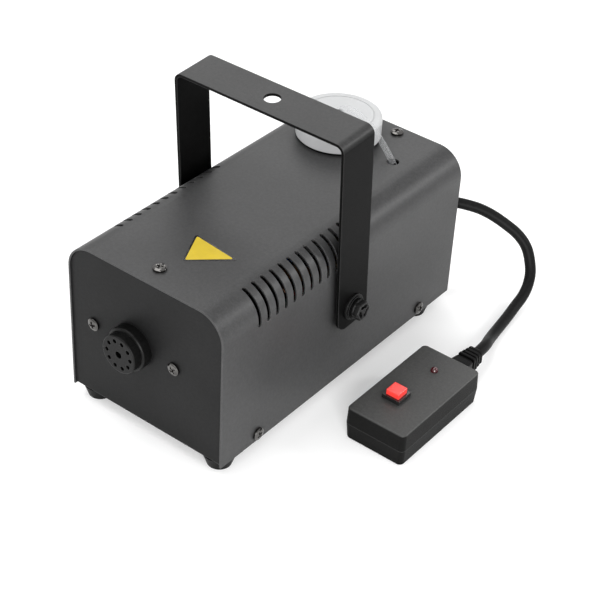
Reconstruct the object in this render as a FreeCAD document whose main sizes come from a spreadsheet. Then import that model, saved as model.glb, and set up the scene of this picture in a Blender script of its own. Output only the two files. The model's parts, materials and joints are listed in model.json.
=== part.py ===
import FreeCAD, Part
import math
import os
import re

import Sketcher
from FreeCAD import Placement, Rotation, Vector

# A small fog machine with its wired remote, in millimetres.
# +X is to the right seen from the front, the front faces -Y, +Z is up.
# The origin is the centre of the base plate's underside; the feet stand below it.

SIZES = {
    # folded steel cover and the tray inside it
    "cover_width": 124,
    "cover_length": 245,
    "cover_height": 112,
    "sheet": 1.2,
    "bend_radius": 19,
    "tray_gap": 0.3,
    "panel_setback": 1,
    "flange_depth": 18,
    "side_flange_height": 14,
    # cooling slots across the two top bends
    "slot_count": 12,
    "slot_pitch": 8.25,
    "slot_width": 3,
    "slot_first_y": -89,
    "slot_inner_x": 49,
    "slot_low_z": 91,
    # screws
    "head_radius": 4.3,
    "head_height": 2.4,
    "shank_radius": 1.75,
    "shank_length": 7,
    "clear_radius": 2.1,
    "tap_radius": 1.8,
    "recess_width": 1,
    "front_top_screw_y": -108,
    "rear_top_screw_x": 13,
    "rear_top_screw_y": 114.5,
    "side_screw_z": 5.5,
    "side_screw_front_y": -87.5,
    "side_screw_rear_y": 85.5,
    "panel_screw_reach": 33,
    "panel_screw_z": 57,
    # feet
    "foot_height": 9,
    "foot_radius": 11,
    "foot_taper": 3,
    "foot_x": 50.5,
    "foot_front_y": -110,
    "foot_rear_y": 98,
    "foot_recess_radius": 5,
    "foot_recess_depth": 6.2,
    "foot_screw_length": 4.2,
    "foot_screw_head": 2,
    # hole in the middle of the floor for a shelf or stand bolt
    "base_hole_radius": 3.2,
    # nozzle and heater
    "nozzle_x": -9.5,
    "nozzle_z": 58,
    "nozzle_radius": 13.2,
    "nozzle_reach": 13.5,
    "nozzle_tail_radius": 7,
    "collar_radius": 15,
    "collar_thickness": 7.5,
    "outlet_radius": 2.5,
    "ring_radius": 9.5,
    "ring_hole_radius": 1.5,
    "ring_hole_count": 10,
    "ring_hole_depth": 12,
    "heater_width": 44,
    "heater_length": 90,
    "heater_low_z": 38,
    "heater_height": 40,
    "heater_front_y": -106,
    "element_radius": 6,
    "element_z": 45,
    "shield_gap": 4.5,
    # tank
    "tank_x": -16,
    "tank_y": 87,
    "tank_width": 66,
    "tank_depth": 54,
    "tank_floor_z": 1.6,
    "tank_shoulder_z": 101,
    "tank_wall": 1.6,
    "tank_corner": 9,
    "neck_radius": 25.5,
    "neck_top_z": 121,
    "opening_radius": 27,
    "lid_radius": 28.9,
    "lid_low_z": 113.1,
    "lid_top_z": 127.5,
    "lid_roof": 2.5,
    "lid_gap": 0.2,
    "tube_radius": 2,
    "tube_bore": 1.25,
    "boss_radius": 3.6,
    "boss_rise": 1.9,
    "filter_radius": 5,
    "filter_height": 18,
    "tube_hole_x": 32.5,
    "tube_hole_y": 83,
    "tube_hole_radius": 4,
    # pump
    "pump_x": 38,
    "pump_y": 30,
    "pump_radius": 8,
    "pump_bore": 5,
    "pump_low_z": 10,
    "pump_high_z": 84,
    "coil_low_z": 28,
    "coil_high_z": 64,
    "coil_half_x": 15,
    "coil_half_y": 14,
    "plunger_radius": 4.9,
    "plunger_low_z": 34,
    "plunger_length": 26,
    "spring_low_z": 22,
    "spring_radius": 4,
    "spring_wire": 0.45,
    # control board
    "board_x": -18,
    "board_y": 32,
    "board_length": 52,
    "board_width": 60,
    "board_thickness": 1.6,
    "board_low_z": 7,
    # rear connectors
    "socket_x": 42,
    "socket_z": 52,
    "socket_radius": 7.5,
    "inlet_x": 38,
    "inlet_z": 20,
    "inlet_width": 27,
    "inlet_height": 20,
    "switch_x": 30,
    "switch_z": 90,
    "switch_width": 13,
    "switch_height": 19,
    "rocker_depth": 2.5,
    "axle_radius": 1,
    "fuse_x": 48,
    "fuse_z": 90,
    "fuse_radius": 6,
    # hanging bracket
    "bracket_width": 30,
    "bracket_thickness": 2,
    "bracket_half_span": 66,
    "bracket_rise": 128,
    "bracket_drop": 14,
    "bracket_bend": 6,
    "bracket_end_radius": 9,
    "bracket_lean": 3,
    "bracket_hole_radius": 5.5,
    "pivot_z": 57,
    "pivot_radius": 3,
    "pivot_play": 0.06,
    "washer_radius": 9,
    "washer_stack": 2.6,
    "knob_radius": 6.8,
    "knob_length": 6,
    "knob_dish": 2,
    "knob_collar": 2,
    "lobe_radius": 1.9,
    "stud_grip": 3.5,
    "stud_inner_x": 55,
    "nut_height": 5,
    "nut_radius": 5.76,
    # sticker
    "sticker_left_x": -7.9,
    "sticker_left_y": -66.7,
    "sticker_front_x": 4.5,
    "sticker_front_y": -93,
    "sticker_right_x": 29.5,
    "sticker_right_y": -70.4,
    "sticker_thickness": 0.2,
    # wired remote
    "remote_x": 117,
    "remote_y": 2,
    "remote_width": 45,
    "remote_length": 86,
    "remote_height": 24.5,
    "remote_seam": 12,
    "remote_wall": 2,
    "remote_corner": 3.5,
    "remote_rim": 1.2,
    "remote_boss_radius": 4,
    "remote_boss_height": 6,
    "remote_well_radius": 3,
    "remote_screw_x": 9,
    "remote_screw_y": 30,
    "remote_board_width": 26,
    "remote_board_length": 48,
    "button_x": 112.3,
    "button_y": -11.5,
    "button_side": 9.8,
    "button_top_z": 22,
    "button_depth": 6,
    "bezel_side": 13.2,
    "bezel_inner": 10.1,
    "bezel_top_z": 18.3,
    "bezel_depth": 10,
    "light_x": 116,
    "light_y": 25.6,
    "light_radius": 2.5,
    "plug_x": 121,
    "plug_z": 6,
    "plug_half": 7,
    "plug_rise": 6,
    "boot_radius": 5.2,
    "rib_radius": 6.4,
    "rib_pitch": 3.4,
    "rib_width": 2,
    "cable_radius": 3.9,
    "cable_start": 16,
    "grip_length": 13,
    # clearances between fitted pieces
    "slip": 0.05,
    "gap": 0.1,
    "hole_play": 0.3,
}

# Points the cable passes on its way from the machine's socket, round and down to the remote.
CABLE_BENDS = (
    (54, 158, 49.5),
    (71, 165.5, 43),
    (90, 171, 30),
    (100, 168.5, 14),
    (105, 158, 3),
    (107.5, 136, -3),
    (112, 107, -3),
)

document = FreeCAD.newDocument("FogMachine")
sheet = document.addObject("Spreadsheet::Sheet", "Dims")
for row, (alias, size) in enumerate(SIZES.items(), start=1):
    sheet.set(f"A{row}", alias)
    sheet.set(f"B{row}", str(size))
    sheet.setAlias(f"B{row}", alias)
document.recompute()

TURNS = {
    "x": Rotation(Vector(0, 1, 0), 90),
    "-x": Rotation(Vector(0, 1, 0), -90),
    "y": Rotation(Vector(1, 0, 0), -90),
    "-y": Rotation(Vector(1, 0, 0), 90),
    "z": Rotation(),
    "-z": Rotation(Vector(1, 0, 0), 180),
}
LEAST_CUT = 0.01
STRAIGHT = 1e-6
subparts = {}


# ---- sizes and expressions ----


def bound(text):
    """An expression whose aliases all point at the sheet."""
    return re.sub(r"[a-z]\w+", lambda word: f"Dims.{word[0]}" if word[0] in SIZES else word[0], str(text))


def number(text):
    """The value of an expression now."""
    return float(sheet.evalExpression(bound(text)))


def numbers(*texts):
    return Vector(*[number(text) for text in texts])


def bind(item, name, text):
    item.setExpression(name, bound(text))


def place(item, at, turn=None):
    """Put an object at bound coordinates, turned by a fixed rotation."""
    if turn is not None:
        item.Placement = Placement(Vector(), turn)
    for letter, text in zip("xyz", at):
        bind(item, f"Placement.Base.{letter}", text)
    return item


def finish(label, item):
    """Name a finished sub-part."""
    item.Label = label
    subparts[label] = item
    return item


# ---- plain solids ----


def block(name, low, size):
    item = document.addObject("Part::Box", name)
    for side, text in zip(("Length", "Width", "Height"), size):
        bind(item, side, text)
    return place(item, low)


def rod(name, base, along, radius, length):
    item = document.addObject("Part::Cylinder", name)
    bind(item, "Radius", radius)
    bind(item, "Height", length)
    return place(item, base, TURNS[along])


def cone(name, base, along, near_radius, far_radius, length):
    item = document.addObject("Part::Cone", name)
    bind(item, "Radius1", near_radius)
    bind(item, "Radius2", far_radius)
    bind(item, "Height", length)
    return place(item, base, TURNS[along])


def joined(name, *pieces):
    item = document.addObject("Part::MultiFuse", name)
    item.Shapes = list(pieces)
    item.Refine = True
    return item


def carved(name, base, *tools):
    item = document.addObject("Part::Cut", name)
    item.Base = base
    item.Tool = tools[0] if len(tools) == 1 else joined(name + "_tools", *tools)
    return item


def softened(name, base, radius, wanted):
    """A copy with the wanted edges rounded."""
    document.recompute()
    size = number(radius)
    edges = [n for n, edge in enumerate(base.Shape.Edges, start=1) if wanted(edge)]
    item = document.addObject("Part::Fillet", name)
    item.Base = base
    item.Edges = [(n, size, size) for n in edges]
    return item


def group(name, pieces):
    item = document.addObject("Part::Compound", name)
    item.Links = list(pieces)
    return item


def shaped(name, shape):
    item = document.addObject("Part::Feature", name)
    item.Shape = shape
    return item


def arc_from(start, along, end):
    """The arc that leaves the start in the given direction and ends at the end."""
    chord = end - start
    sideways = chord - along * chord.dot(along)
    if sideways.Length < STRAIGHT:
        return Part.LineSegment(start, end).toShape()
    centre = start + sideways * (chord.dot(chord) / (2 * sideways.dot(sideways)))
    radius = (start - centre).Length
    towards = ((start + end) / 2 - centre).normalize()
    if chord.dot(along) < 0:
        towards = -towards
    return Part.Arc(start, centre + towards * radius, end).toShape()


def arc_pair(start, leaving, end, arriving):
    """Two arcs that meet smoothly, and join two points with a set direction at each."""
    chord = end - start
    spread = 2 * (1 - leaving.dot(arriving))
    along = chord.dot(leaving + arriving)
    if spread < STRAIGHT:
        reach = chord.dot(chord) / (2 * along)
    else:
        reach = (math.sqrt(along**2 + spread * chord.dot(chord)) - along) / spread
    halfway = (start + leaving * reach + end - arriving * reach) / 2
    return arc_from(start, leaving, halfway), arc_from(end, -arriving, halfway)


def tube_along(name, points, radius, first_lead, last_lead):
    """A round bar swept along arcs through the points, and straight along its end leads."""
    path = [points[0] + first_lead, *points[1:-1], points[-1] - last_lead]
    directions = [Vector(first_lead).normalize()]
    directions += [(path[n + 1] - path[n - 1]).normalize() for n in range(1, len(path) - 1)]
    directions += [Vector(last_lead).normalize()]
    edges = [Part.LineSegment(points[0], path[0]).toShape()]
    for n in range(len(path) - 1):
        edges += arc_pair(path[n], directions[n], path[n + 1], directions[n + 1])
    edges += [Part.LineSegment(path[-1], points[-1]).toShape()]
    ring = Part.Wire(Part.Circle(points[0], directions[0], radius).toShape())
    return shaped(name, Part.Wire(Part.__sortEdges__(edges)).makePipe(Part.Face(ring)))


# ---- sketched bodies ----


def new_body(name):
    return document.addObject("PartDesign::Body", name)


def origin_item(body, role):
    return next(item for item in body.Origin.OriginFeatures if item.Role == role)


def sketch(body, name, role, offset="0"):
    """An empty sketch on one of the body's origin planes, moved along the plane's normal."""
    drawing = body.newObject("Sketcher::SketchObject", name)
    drawing.AttachmentSupport = [(origin_item(body, role), "")]
    drawing.MapMode = "FlatFace"
    bind(drawing, "AttachmentOffset.Base.z", offset)
    return drawing


def pin(drawing, geometry, point, across, up):
    """Tie one point of a sketch to bound coordinates."""
    for kind, text in (("DistanceX", across), ("DistanceY", up)):
        rule = drawing.addConstraint(Sketcher.Constraint(kind, -1, 1, geometry, point, number(text)))
        bind(drawing, f"Constraints[{rule}]", text)


def draw_polygon(drawing, corners):
    points = [Vector(number(across), number(up), 0) for across, up in corners]
    first = drawing.GeometryCount
    count = len(corners)
    for n in range(count):
        drawing.addGeometry(Part.LineSegment(points[n], points[(n + 1) % count]), False)
    for n in range(count):
        drawing.addConstraint(Sketcher.Constraint("Coincident", first + n, 2, first + (n + 1) % count, 1))
    for n, (across, up) in enumerate(corners):
        pin(drawing, first + n, 1, across, up)


def draw_rectangle(drawing, left, low, right, high):
    draw_polygon(drawing, ((left, low), (right, low), (right, high), (left, high)))


def draw_circle(drawing, across, up, radius):
    centre = Vector(number(across), number(up), 0)
    circle = drawing.addGeometry(Part.Circle(centre, Vector(0, 0, 1), number(radius)), False)
    pin(drawing, circle, 3, across, up)
    rule = drawing.addConstraint(Sketcher.Constraint("Radius", circle, number(radius)))
    bind(drawing, f"Constraints[{rule}]", radius)


def pad(body, drawing, length, reverse=False, both_ways=False, taper=0):
    feature = body.newObject("PartDesign::Pad", drawing.Name + "_pad")
    feature.Profile = drawing
    feature.Reversed = reverse
    feature.Midplane = both_ways
    feature.TaperAngle = taper
    bind(feature, "Length", length)
    return feature


def pocket(body, drawing, length=None, reverse=False):
    """Cut a sketch out to a length, or right through both ways; an empty cut stops the build."""
    document.recompute()
    before = body.Shape.Volume
    feature = body.newObject("PartDesign::Pocket", drawing.Name + "_cut")
    feature.Profile = drawing
    feature.Reversed = reverse
    if length is None:
        feature.Type = "ThroughAll"
        feature.Midplane = True
    else:
        bind(feature, "Length", length)
    document.recompute()
    if before - body.Shape.Volume < LEAST_CUT:
        failed = [item.Name for item in document.Objects if "Invalid" in item.State]
        raise SystemExit(f"{feature.Name} cuts nothing; failed: {failed}")
    return feature


def round_edges(body, name, radius, wanted):
    """Round the wanted edges of the body's last feature."""
    document.recompute()
    base = body.Tip
    edges = [f"Edge{n}" for n, edge in enumerate(base.Shape.Edges, start=1) if wanted(edge)]
    feature = body.newObject("PartDesign::Fillet", name)
    feature.Base = (base, edges)
    bind(feature, "Radius", radius)
    return feature


def row_of(body, name, features, role, length, count):
    """Repeat features along an axis of the body."""
    document.recompute()
    before = body.Shape.Volume
    feature = body.newObject("PartDesign::LinearPattern", name)
    feature.Originals = features
    feature.Direction = (origin_item(body, role), [""])
    bind(feature, "Length", length)
    bind(feature, "Occurrences", count)
    body.Tip = feature
    document.recompute()
    if before - body.Shape.Volume < LEAST_CUT:
        raise SystemExit(f"{name} repeats nothing")
    return feature


# ---- edge tests ----


def runs_along(edge, letter):
    """True for a straight edge parallel to an axis."""
    if not isinstance(edge.Curve, Part.Line):
        return False
    return abs(abs(getattr(edge.Curve.Direction, letter)) - 1) < 1e-6


def near(a, b):
    return abs(a - b) < 1e-3


def edge_at(letter, **where):
    """A test for straight edges along one axis whose middle has the given coordinates."""

    def wanted(edge):
        middle = edge.CenterOfMass
        return runs_along(edge, letter) and all(near(abs(getattr(middle, k)), v) for k, v in where.items())

    return wanted


def nearly_upright(edge):
    """True for an edge within about 25 degrees of vertical."""
    return abs(edge.tangentAt(edge.FirstParameter).z) > 0.9


def level_at(z):
    """A test for edges that lie level at a height."""

    def wanted(edge):
        return near(edge.BoundBox.ZMin, z) and near(edge.BoundBox.ZMax, z)

    return wanted


def circle_at(z, radius):
    """A test for circles round a vertical axis at a height."""

    def wanted(edge):
        round_one = isinstance(edge.Curve, Part.Circle)
        return round_one and near(edge.Curve.Radius, radius) and near(edge.CenterOfMass.z, z)

    return wanted


# ---- housing ----

TOP_SCREWS = (("0", "front_top_screw_y"), ("rear_top_screw_x", "rear_top_screw_y"))
SIDE_SCREWS = ("side_screw_front_y", "side_screw_rear_y")
PANEL_SCREWS = ("nozzle_x - panel_screw_reach", "nozzle_x + panel_screw_reach")
FEET = tuple((x, y) for x in ("-foot_x", "foot_x") for y in ("foot_front_y", "foot_rear_y"))
PANEL_Y = "(cover_length/2 - panel_setback)"
TRAY_HALF = "(cover_width/2 - sheet - tray_gap)"
TRAY_TOP = "(cover_height - sheet - tray_gap)"


def top_cover():
    body = new_body("Cover")
    outline = sketch(body, "cover_outline", "XZ_Plane")
    draw_rectangle(outline, "-cover_width/2", "0", "cover_width/2", "cover_height")
    pad(body, outline, "cover_length", both_ways=True)
    inside = sketch(body, "cover_inside", "XZ_Plane")
    inner = "(cover_width/2 - sheet)"
    draw_rectangle(inside, f"-{inner}", "-sheet", inner, "cover_height - sheet")
    pocket(body, inside)
    inner_top = number("cover_height - sheet")
    round_edges(body, "cover_inner_bends", "bend_radius - sheet", edge_at("y", z=inner_top))
    round_edges(body, "cover_bends", "bend_radius", edge_at("y", z=SIZES["cover_height"]))
    slot_rows(body)
    above = sketch(body, "cover_top_holes", "XY_Plane", "cover_height")
    for across, along in TOP_SCREWS:
        draw_circle(above, across, along, "clear_radius")
    draw_circle(above, "tank_x", "tank_y", "opening_radius")
    draw_circle(above, "tube_hole_x", "tube_hole_y", "tube_hole_radius")
    pocket(body, above, "2*sheet")
    sides = sketch(body, "cover_side_holes", "YZ_Plane")
    for along in SIDE_SCREWS:
        draw_circle(sides, along, "side_screw_z", "clear_radius")
    draw_circle(sides, "0", "pivot_z", "pivot_radius + hole_play")
    pocket(body, sides)
    finish("top_cover", body)


def slot_rows(body):
    """Slots cut across both bends, each a straight cut with a round end on the top and on the side."""
    half = "slot_width/2"
    across = sketch(body, "slot_bend", "XY_Plane", "cover_height")
    beyond = "(cover_width/2 + sheet)"
    for left, right in (("slot_inner_x", beyond), (f"-{beyond}", "-slot_inner_x")):
        draw_rectangle(across, left, f"slot_first_y - {half}", right, f"slot_first_y + {half}")
    ends = sketch(body, "slot_top_ends", "XY_Plane", "cover_height")
    for centre in ("slot_inner_x", "-slot_inner_x"):
        draw_circle(ends, centre, "slot_first_y", half)
    low = sketch(body, "slot_low_ends", "YZ_Plane")
    draw_circle(low, "slot_first_y", "slot_low_z", half)
    cuts = [
        pocket(body, across, "cover_height - slot_low_z"),
        pocket(body, ends, "2*sheet"),
        pocket(body, low),
    ]
    row_of(body, "slot_row", cuts, "Y_Axis", "slot_pitch*(slot_count - 1)", "slot_count")


def chassis():
    """One folded tray: floor, front and rear panels with top flanges, and low side flanges."""
    body = new_body("Tray")
    floor = sketch(body, "tray_floor", "XY_Plane")
    draw_rectangle(floor, f"-{TRAY_HALF}", f"-{PANEL_Y}", TRAY_HALF, PANEL_Y)
    pad(body, floor, "sheet")
    for name, sign, left, right in (
        ("front", "-", "-40", "40"),
        ("rear", "", "3", "36"),
    ):
        # an XZ sketch faces -Y, so its offset is minus its Y
        offset = PANEL_Y if sign else f"-{PANEL_Y}"
        panel = sketch(body, name + "_panel", "XZ_Plane", offset)
        draw_rectangle(panel, f"-{TRAY_HALF}", "0", TRAY_HALF, TRAY_TOP)
        pad(body, panel, "sheet", reverse=bool(sign))
        flange = sketch(body, name + "_flange", "XZ_Plane", offset)
        draw_rectangle(flange, left, f"{TRAY_TOP} - sheet", right, TRAY_TOP)
        pad(body, flange, "flange_depth" if sign else "flange_depth - 7", reverse=bool(sign))
    for name, low in (("left", f"-{TRAY_HALF}"), ("right", f"{TRAY_HALF} - sheet")):
        side = sketch(body, name + "_flange", "XY_Plane")
        draw_rectangle(side, low, f"8 - {PANEL_Y}", f"{low} + sheet", f"{PANEL_Y} - 8")
        pad(body, side, "side_flange_height")
    corners = edge_at("y", x=number(TRAY_HALF), z=number(TRAY_TOP))
    round_edges(body, "panel_corners", "bend_radius - sheet - tray_gap", corners)
    round_edges(body, "floor_bends", "2*sheet", edge_at("x", y=number(PANEL_Y), z=0))
    tray_holes(body)
    finish("chassis", body)


def tray_holes(body):
    front = sketch(body, "front_holes", "XZ_Plane", PANEL_Y)
    draw_circle(front, "nozzle_x", "nozzle_z", "nozzle_tail_radius + 0.4")
    for across in PANEL_SCREWS:
        draw_circle(front, across, "panel_screw_z", "tap_radius")
    pocket(body, front, "2*sheet")
    rear = sketch(body, "rear_holes", "XZ_Plane", f"-{PANEL_Y}")
    draw_circle(rear, "socket_x", "socket_z", "socket_radius + hole_play")
    draw_circle(rear, "fuse_x", "fuse_z", "fuse_radius + hole_play")
    for name in ("inlet", "switch"):
        half_x, half_z = f"({name}_width/2 + hole_play)", f"({name}_height/2 + hole_play)"
        left, right = f"{name}_x - {half_x}", f"{name}_x + {half_x}"
        draw_rectangle(rear, left, f"{name}_z - {half_z}", right, f"{name}_z + {half_z}")
    pocket(body, rear, "2*sheet", reverse=True)
    above = sketch(body, "flange_holes", "XY_Plane", "cover_height")
    for across, along in TOP_SCREWS:
        draw_circle(above, across, along, "tap_radius")
    pocket(body, above, "4*sheet")
    sides = sketch(body, "side_flange_holes", "YZ_Plane")
    for along in SIDE_SCREWS:
        draw_circle(sides, along, "side_screw_z", "tap_radius")
    pocket(body, sides)
    below = sketch(body, "floor_holes", "XY_Plane")
    for across, along in FEET:
        draw_circle(below, across, along, "tap_radius")
    draw_circle(below, "0", "0", "base_hole_radius")
    pocket(body, below, "2*sheet", reverse=True)


def screw(name, at, along, shank="shank_length", head="head_radius", depth="head_height"):
    """A pan-head cross-recess screw whose head stands out along the axis from the seat point."""
    bulge = cone(name + "_dome", ("0", "0", f"0.4*{depth}"), "z", head, f"0.72*{head}", f"0.6*{depth}")
    disc = rod(name + "_head", ("0", "0", "0"), "z", head, f"0.4*{depth}")
    stem = rod(name + "_shank", ("0", "0", "0"), "-z", "shank_radius", shank)
    whole = joined(name + "_blank", disc, bulge, stem)
    reach, slit = f"0.55*{head}", "recess_width"
    base = f"0.45*{depth}"
    wide = block(name + "_cross_x", (f"-{reach}", f"-{slit}/2", base), (f"2*{reach}", slit, depth))
    tall = block(name + "_cross_y", (f"-{slit}/2", f"-{reach}", base), (slit, f"2*{reach}", depth))
    return place(carved(name, whole, wide, tall), at, TURNS[along])


def screws():
    """The eight identical screws that hold the cover and the heater shield."""
    all_screws = []
    for n, (across, along) in enumerate(TOP_SCREWS):
        all_screws.append(screw(f"TopScrew{n}", (across, along, "cover_height"), "z"))
    for n, along in enumerate(SIDE_SCREWS):
        right, left = ("cover_width/2", along, "side_screw_z"), ("-cover_width/2", along, "side_screw_z")
        all_screws.append(screw(f"SideScrewRight{n}", right, "x"))
        all_screws.append(screw(f"SideScrewLeft{n}", left, "-x"))
    for n, across in enumerate(PANEL_SCREWS):
        all_screws.append(screw(f"PanelScrew{n}", (across, f"-{PANEL_Y}", "panel_screw_z"), "-y"))
    finish("case_screws", group("CaseScrews", all_screws))


def feet():
    pads, fixings = [], []
    for n, (x, y) in enumerate(FEET):
        low = (x, y, "-foot_height")
        end_radius = "foot_radius - foot_taper"
        foot = cone(f"FootBlock{n}", (x, y, "0"), "-z", "foot_radius", end_radius, "foot_height")
        cup = rod(f"FootCup{n}", low, "z", "foot_recess_radius", "foot_recess_depth")
        hole = rod(f"FootHole{n}", low, "z", "clear_radius", "foot_height")
        pads.append(carved(f"Foot{n}", foot, cup, hole))
        seat = (x, y, "foot_recess_depth - foot_height")
        lengths = {"shank": "foot_screw_length", "depth": "foot_screw_head"}
        fixings.append(screw(f"FootScrew{n}", seat, "-z", **lengths))
    finish("rubber_feet", group("Feet", pads))
    finish("foot_screws", group("FootScrews", fixings))


def sticker():
    """A plain warning triangle without any marking."""
    body = new_body("Sticker")
    shape = sketch(body, "sticker_outline", "XY_Plane", "cover_height")
    corners = [(f"sticker_{corner}_x", f"sticker_{corner}_y") for corner in ("left", "front", "right")]
    draw_polygon(shape, corners)
    pad(body, shape, "sticker_thickness")
    finish("warning_sticker", body)


# ---- nozzle and heater ----


def nozzle():
    y_panel = f"-{PANEL_Y}"
    front = f"(-{PANEL_Y} - nozzle_reach)"
    barrel = rod("NozzleBarrel", ("nozzle_x", y_panel, "nozzle_z"), "-y", "nozzle_radius", "nozzle_reach")
    tail_length = f"{PANEL_Y} + heater_front_y - gap"
    tail = rod("NozzleTail", ("nozzle_x", y_panel, "nozzle_z"), "y", "nozzle_tail_radius", tail_length)
    solid = joined("NozzleBlank", barrel, tail)
    document.recompute()
    rim = softened("NozzleSoft", solid, "0.8", lambda e: near(e.CenterOfMass.y, number(front)))
    centre = rod("NozzleOutlet", ("nozzle_x", front, "nozzle_z"), "y", "outlet_radius", "50")
    holes = [centre]
    for n in range(SIZES["ring_hole_count"]):
        angle = f"({n} * 360deg / ring_hole_count)"
        x = f"nozzle_x + ring_radius*cos({angle})"
        z = f"nozzle_z + ring_radius*sin({angle})"
        holes.append(rod(f"RingHole{n}", (x, front, z), "y", "ring_hole_radius", "ring_hole_depth"))
    finish("nozzle", carved("Nozzle", rim, *holes))
    ring = rod("CollarRing", ("nozzle_x", y_panel, "nozzle_z"), "-y", "collar_radius", "collar_thickness")
    bore_radius = "nozzle_radius + slip"
    bore = rod("CollarBore", ("nozzle_x", y_panel, "nozzle_z"), "-y", bore_radius, "collar_thickness")
    far = number(f"-{PANEL_Y} - collar_thickness")
    soft = softened("CollarSoft", ring, "1.5", lambda e: near(e.CenterOfMass.y, far))
    finish("nozzle_collar", carved("Collar", soft, bore))


def heater():
    left = "nozzle_x - heater_width/2"
    low = (left, "heater_front_y", "heater_low_z")
    body = block("HeaterBlank", low, ("heater_width", "heater_length", "heater_height"))
    soft = softened("HeaterSoft", body, "3", lambda e: runs_along(e, "y"))
    upper, lower = ("nozzle_x", "heater_front_y", "nozzle_z"), ("nozzle_x", "heater_front_y", "element_z")
    channel = rod("HeaterChannel", upper, "y", "outlet_radius", "heater_length")
    bore = rod("ElementBore", lower, "y", "element_radius + slip", "heater_length")
    finish("heater_block", carved("HeaterBlock", soft, channel, bore))
    rear = "(heater_front_y + heater_length)"
    end = ("nozzle_x", "heater_front_y + 2", "element_z")
    cartridge = rod("Cartridge", end, "y", "element_radius", "heater_length + 2")
    leads = []
    for n, side in enumerate(("-2.5", "2.5")):
        leads.append(rod(f"ElementPin{n}", (f"nozzle_x + {side}", rear, "element_z"), "y", "1", "10"))
    finish("heating_element", joined("Element", cartridge, *leads))
    heater_shield()
    sensors()
    pads = []
    for n, x in enumerate((f"{left} - shield_gap + gap", "nozzle_x + heater_width/2 + gap")):
        low = (x, "heater_front_y + 2", "heater_low_z + 2")
        pads.append(block(f"Wool{n}", low, ("shield_gap - 0.2", "heater_length - 4", "heater_height - 4")))
    finish("heater_insulation", group("Insulation", pads))


def heater_shield():
    """Folded strip round the heater, screwed to the front panel on both sides of the nozzle."""
    body = new_body("Shield")
    plan = sketch(body, "shield_plan", "XY_Plane", "heater_low_z - 4")
    half = "(heater_width/2 + shield_gap)"
    front = f"(sheet + slip - {PANEL_Y})"
    rear = "(heater_front_y + heater_length + 4)"
    reach = "(panel_screw_reach + 6)"
    corners = (
        (f"nozzle_x - {reach}", front),
        (f"nozzle_x - {half}", front),
        (f"nozzle_x - {half}", rear),
        (f"nozzle_x + {half}", rear),
        (f"nozzle_x + {half}", front),
        (f"nozzle_x + {reach}", front),
        (f"nozzle_x + {reach}", f"{front} + sheet"),
        (f"nozzle_x + {half} + sheet", f"{front} + sheet"),
        (f"nozzle_x + {half} + sheet", f"{rear} + sheet"),
        (f"nozzle_x - {half} - sheet", f"{rear} + sheet"),
        (f"nozzle_x - {half} - sheet", f"{front} + sheet"),
        (f"nozzle_x - {reach}", f"{front} + sheet"),
    )
    draw_polygon(plan, corners)
    pad(body, plan, "heater_height + 8")
    window = sketch(body, "shield_window", "XZ_Plane", f"-{rear}")
    draw_rectangle(window, "nozzle_x - 8", "element_z - 8", "nozzle_x + 8", "nozzle_z + 5")
    pocket(body, window, "2*sheet")
    holes = sketch(body, "shield_holes", "XZ_Plane", f"-{front}")
    for across in PANEL_SCREWS:
        draw_circle(holes, across, "panel_screw_z", "tap_radius")
    pocket(body, holes, "2*sheet")
    finish("heater_shield", body)


def sensors():
    top = "(heater_low_z + heater_height)"
    disc = rod("StatDisc", ("nozzle_x", "heater_front_y + 35", top), "z", "8.5", "7")
    plate = block("StatPlate", ("nozzle_x - 12", "heater_front_y + 31", top), ("24", "8", "0.8"))
    tabs = []
    for n, x in enumerate((-4.4, 3.6)):
        tab_low = (f"nozzle_x + {x}", "heater_front_y + 32", f"{top} + 7")
        tabs.append(block(f"StatTab{n}", tab_low, ("0.8", "6", "8")))
    finish("thermostat", joined("Thermostat", disc, plate, *tabs))
    clip = block("FuseClip", ("nozzle_x - 8", "heater_front_y + 62", top), ("16", "6", "1"))
    link = rod("FuseLink", ("nozzle_x - 7", "heater_front_y + 65", f"{top} + 3"), "x", "2.2", "14")
    finish("thermal_fuse", joined("ThermalFuse", clip, link))


# ---- tank, lid and tubes ----


def tank():
    height = "tank_shoulder_z - tank_floor_z"
    low = ("tank_x - tank_width/2", "tank_y - tank_depth/2", "tank_floor_z")
    body = block("BottleBlank", low, ("tank_width", "tank_depth", height))
    soft = softened("BottleSoft", body, "tank_corner", lambda e: runs_along(e, "z"))
    shoulder = SIZES["tank_shoulder_z"]
    rim = softened("BottleShoulder", soft, "4", lambda e: near(e.CenterOfMass.z, shoulder))
    neck_low = ("tank_x", "tank_y", "tank_shoulder_z - 1")
    neck = rod("BottleNeck", neck_low, "z", "neck_radius", "neck_top_z - tank_shoulder_z + 1")
    inner_low = [f"{text} + tank_wall" for text in low]
    inner_size = [f"{text} - 2*tank_wall" for text in ("tank_width", "tank_depth", height)]
    hollow = block("BottleHollow", inner_low, inner_size)
    inner_corner = "tank_corner - tank_wall"
    hollow_soft = softened("BottleHollowSoft", hollow, inner_corner, lambda e: runs_along(e, "z"))
    middle = ("tank_x", "tank_y", "tank_floor_z + 10")
    mouth = rod("BottleMouth", middle, "z", "neck_radius - tank_wall", "neck_top_z")
    whole = joined("BottleWhole", rim, neck)
    finish("tank_bottle", carved("Bottle", whole, hollow_soft, mouth))
    on_cover = ("tank_x", "tank_y", "cover_height")
    thickness = "lid_low_z - cover_height - slip"
    seal = rod("SealDisc", on_cover, "z", "lid_radius - 0.6", thickness)
    seal_bore = rod("SealBore", on_cover, "z", "neck_radius + gap", "2*(lid_low_z - cover_height)")
    finish("tank_gasket", carved("Seal", seal, seal_bore))


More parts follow.
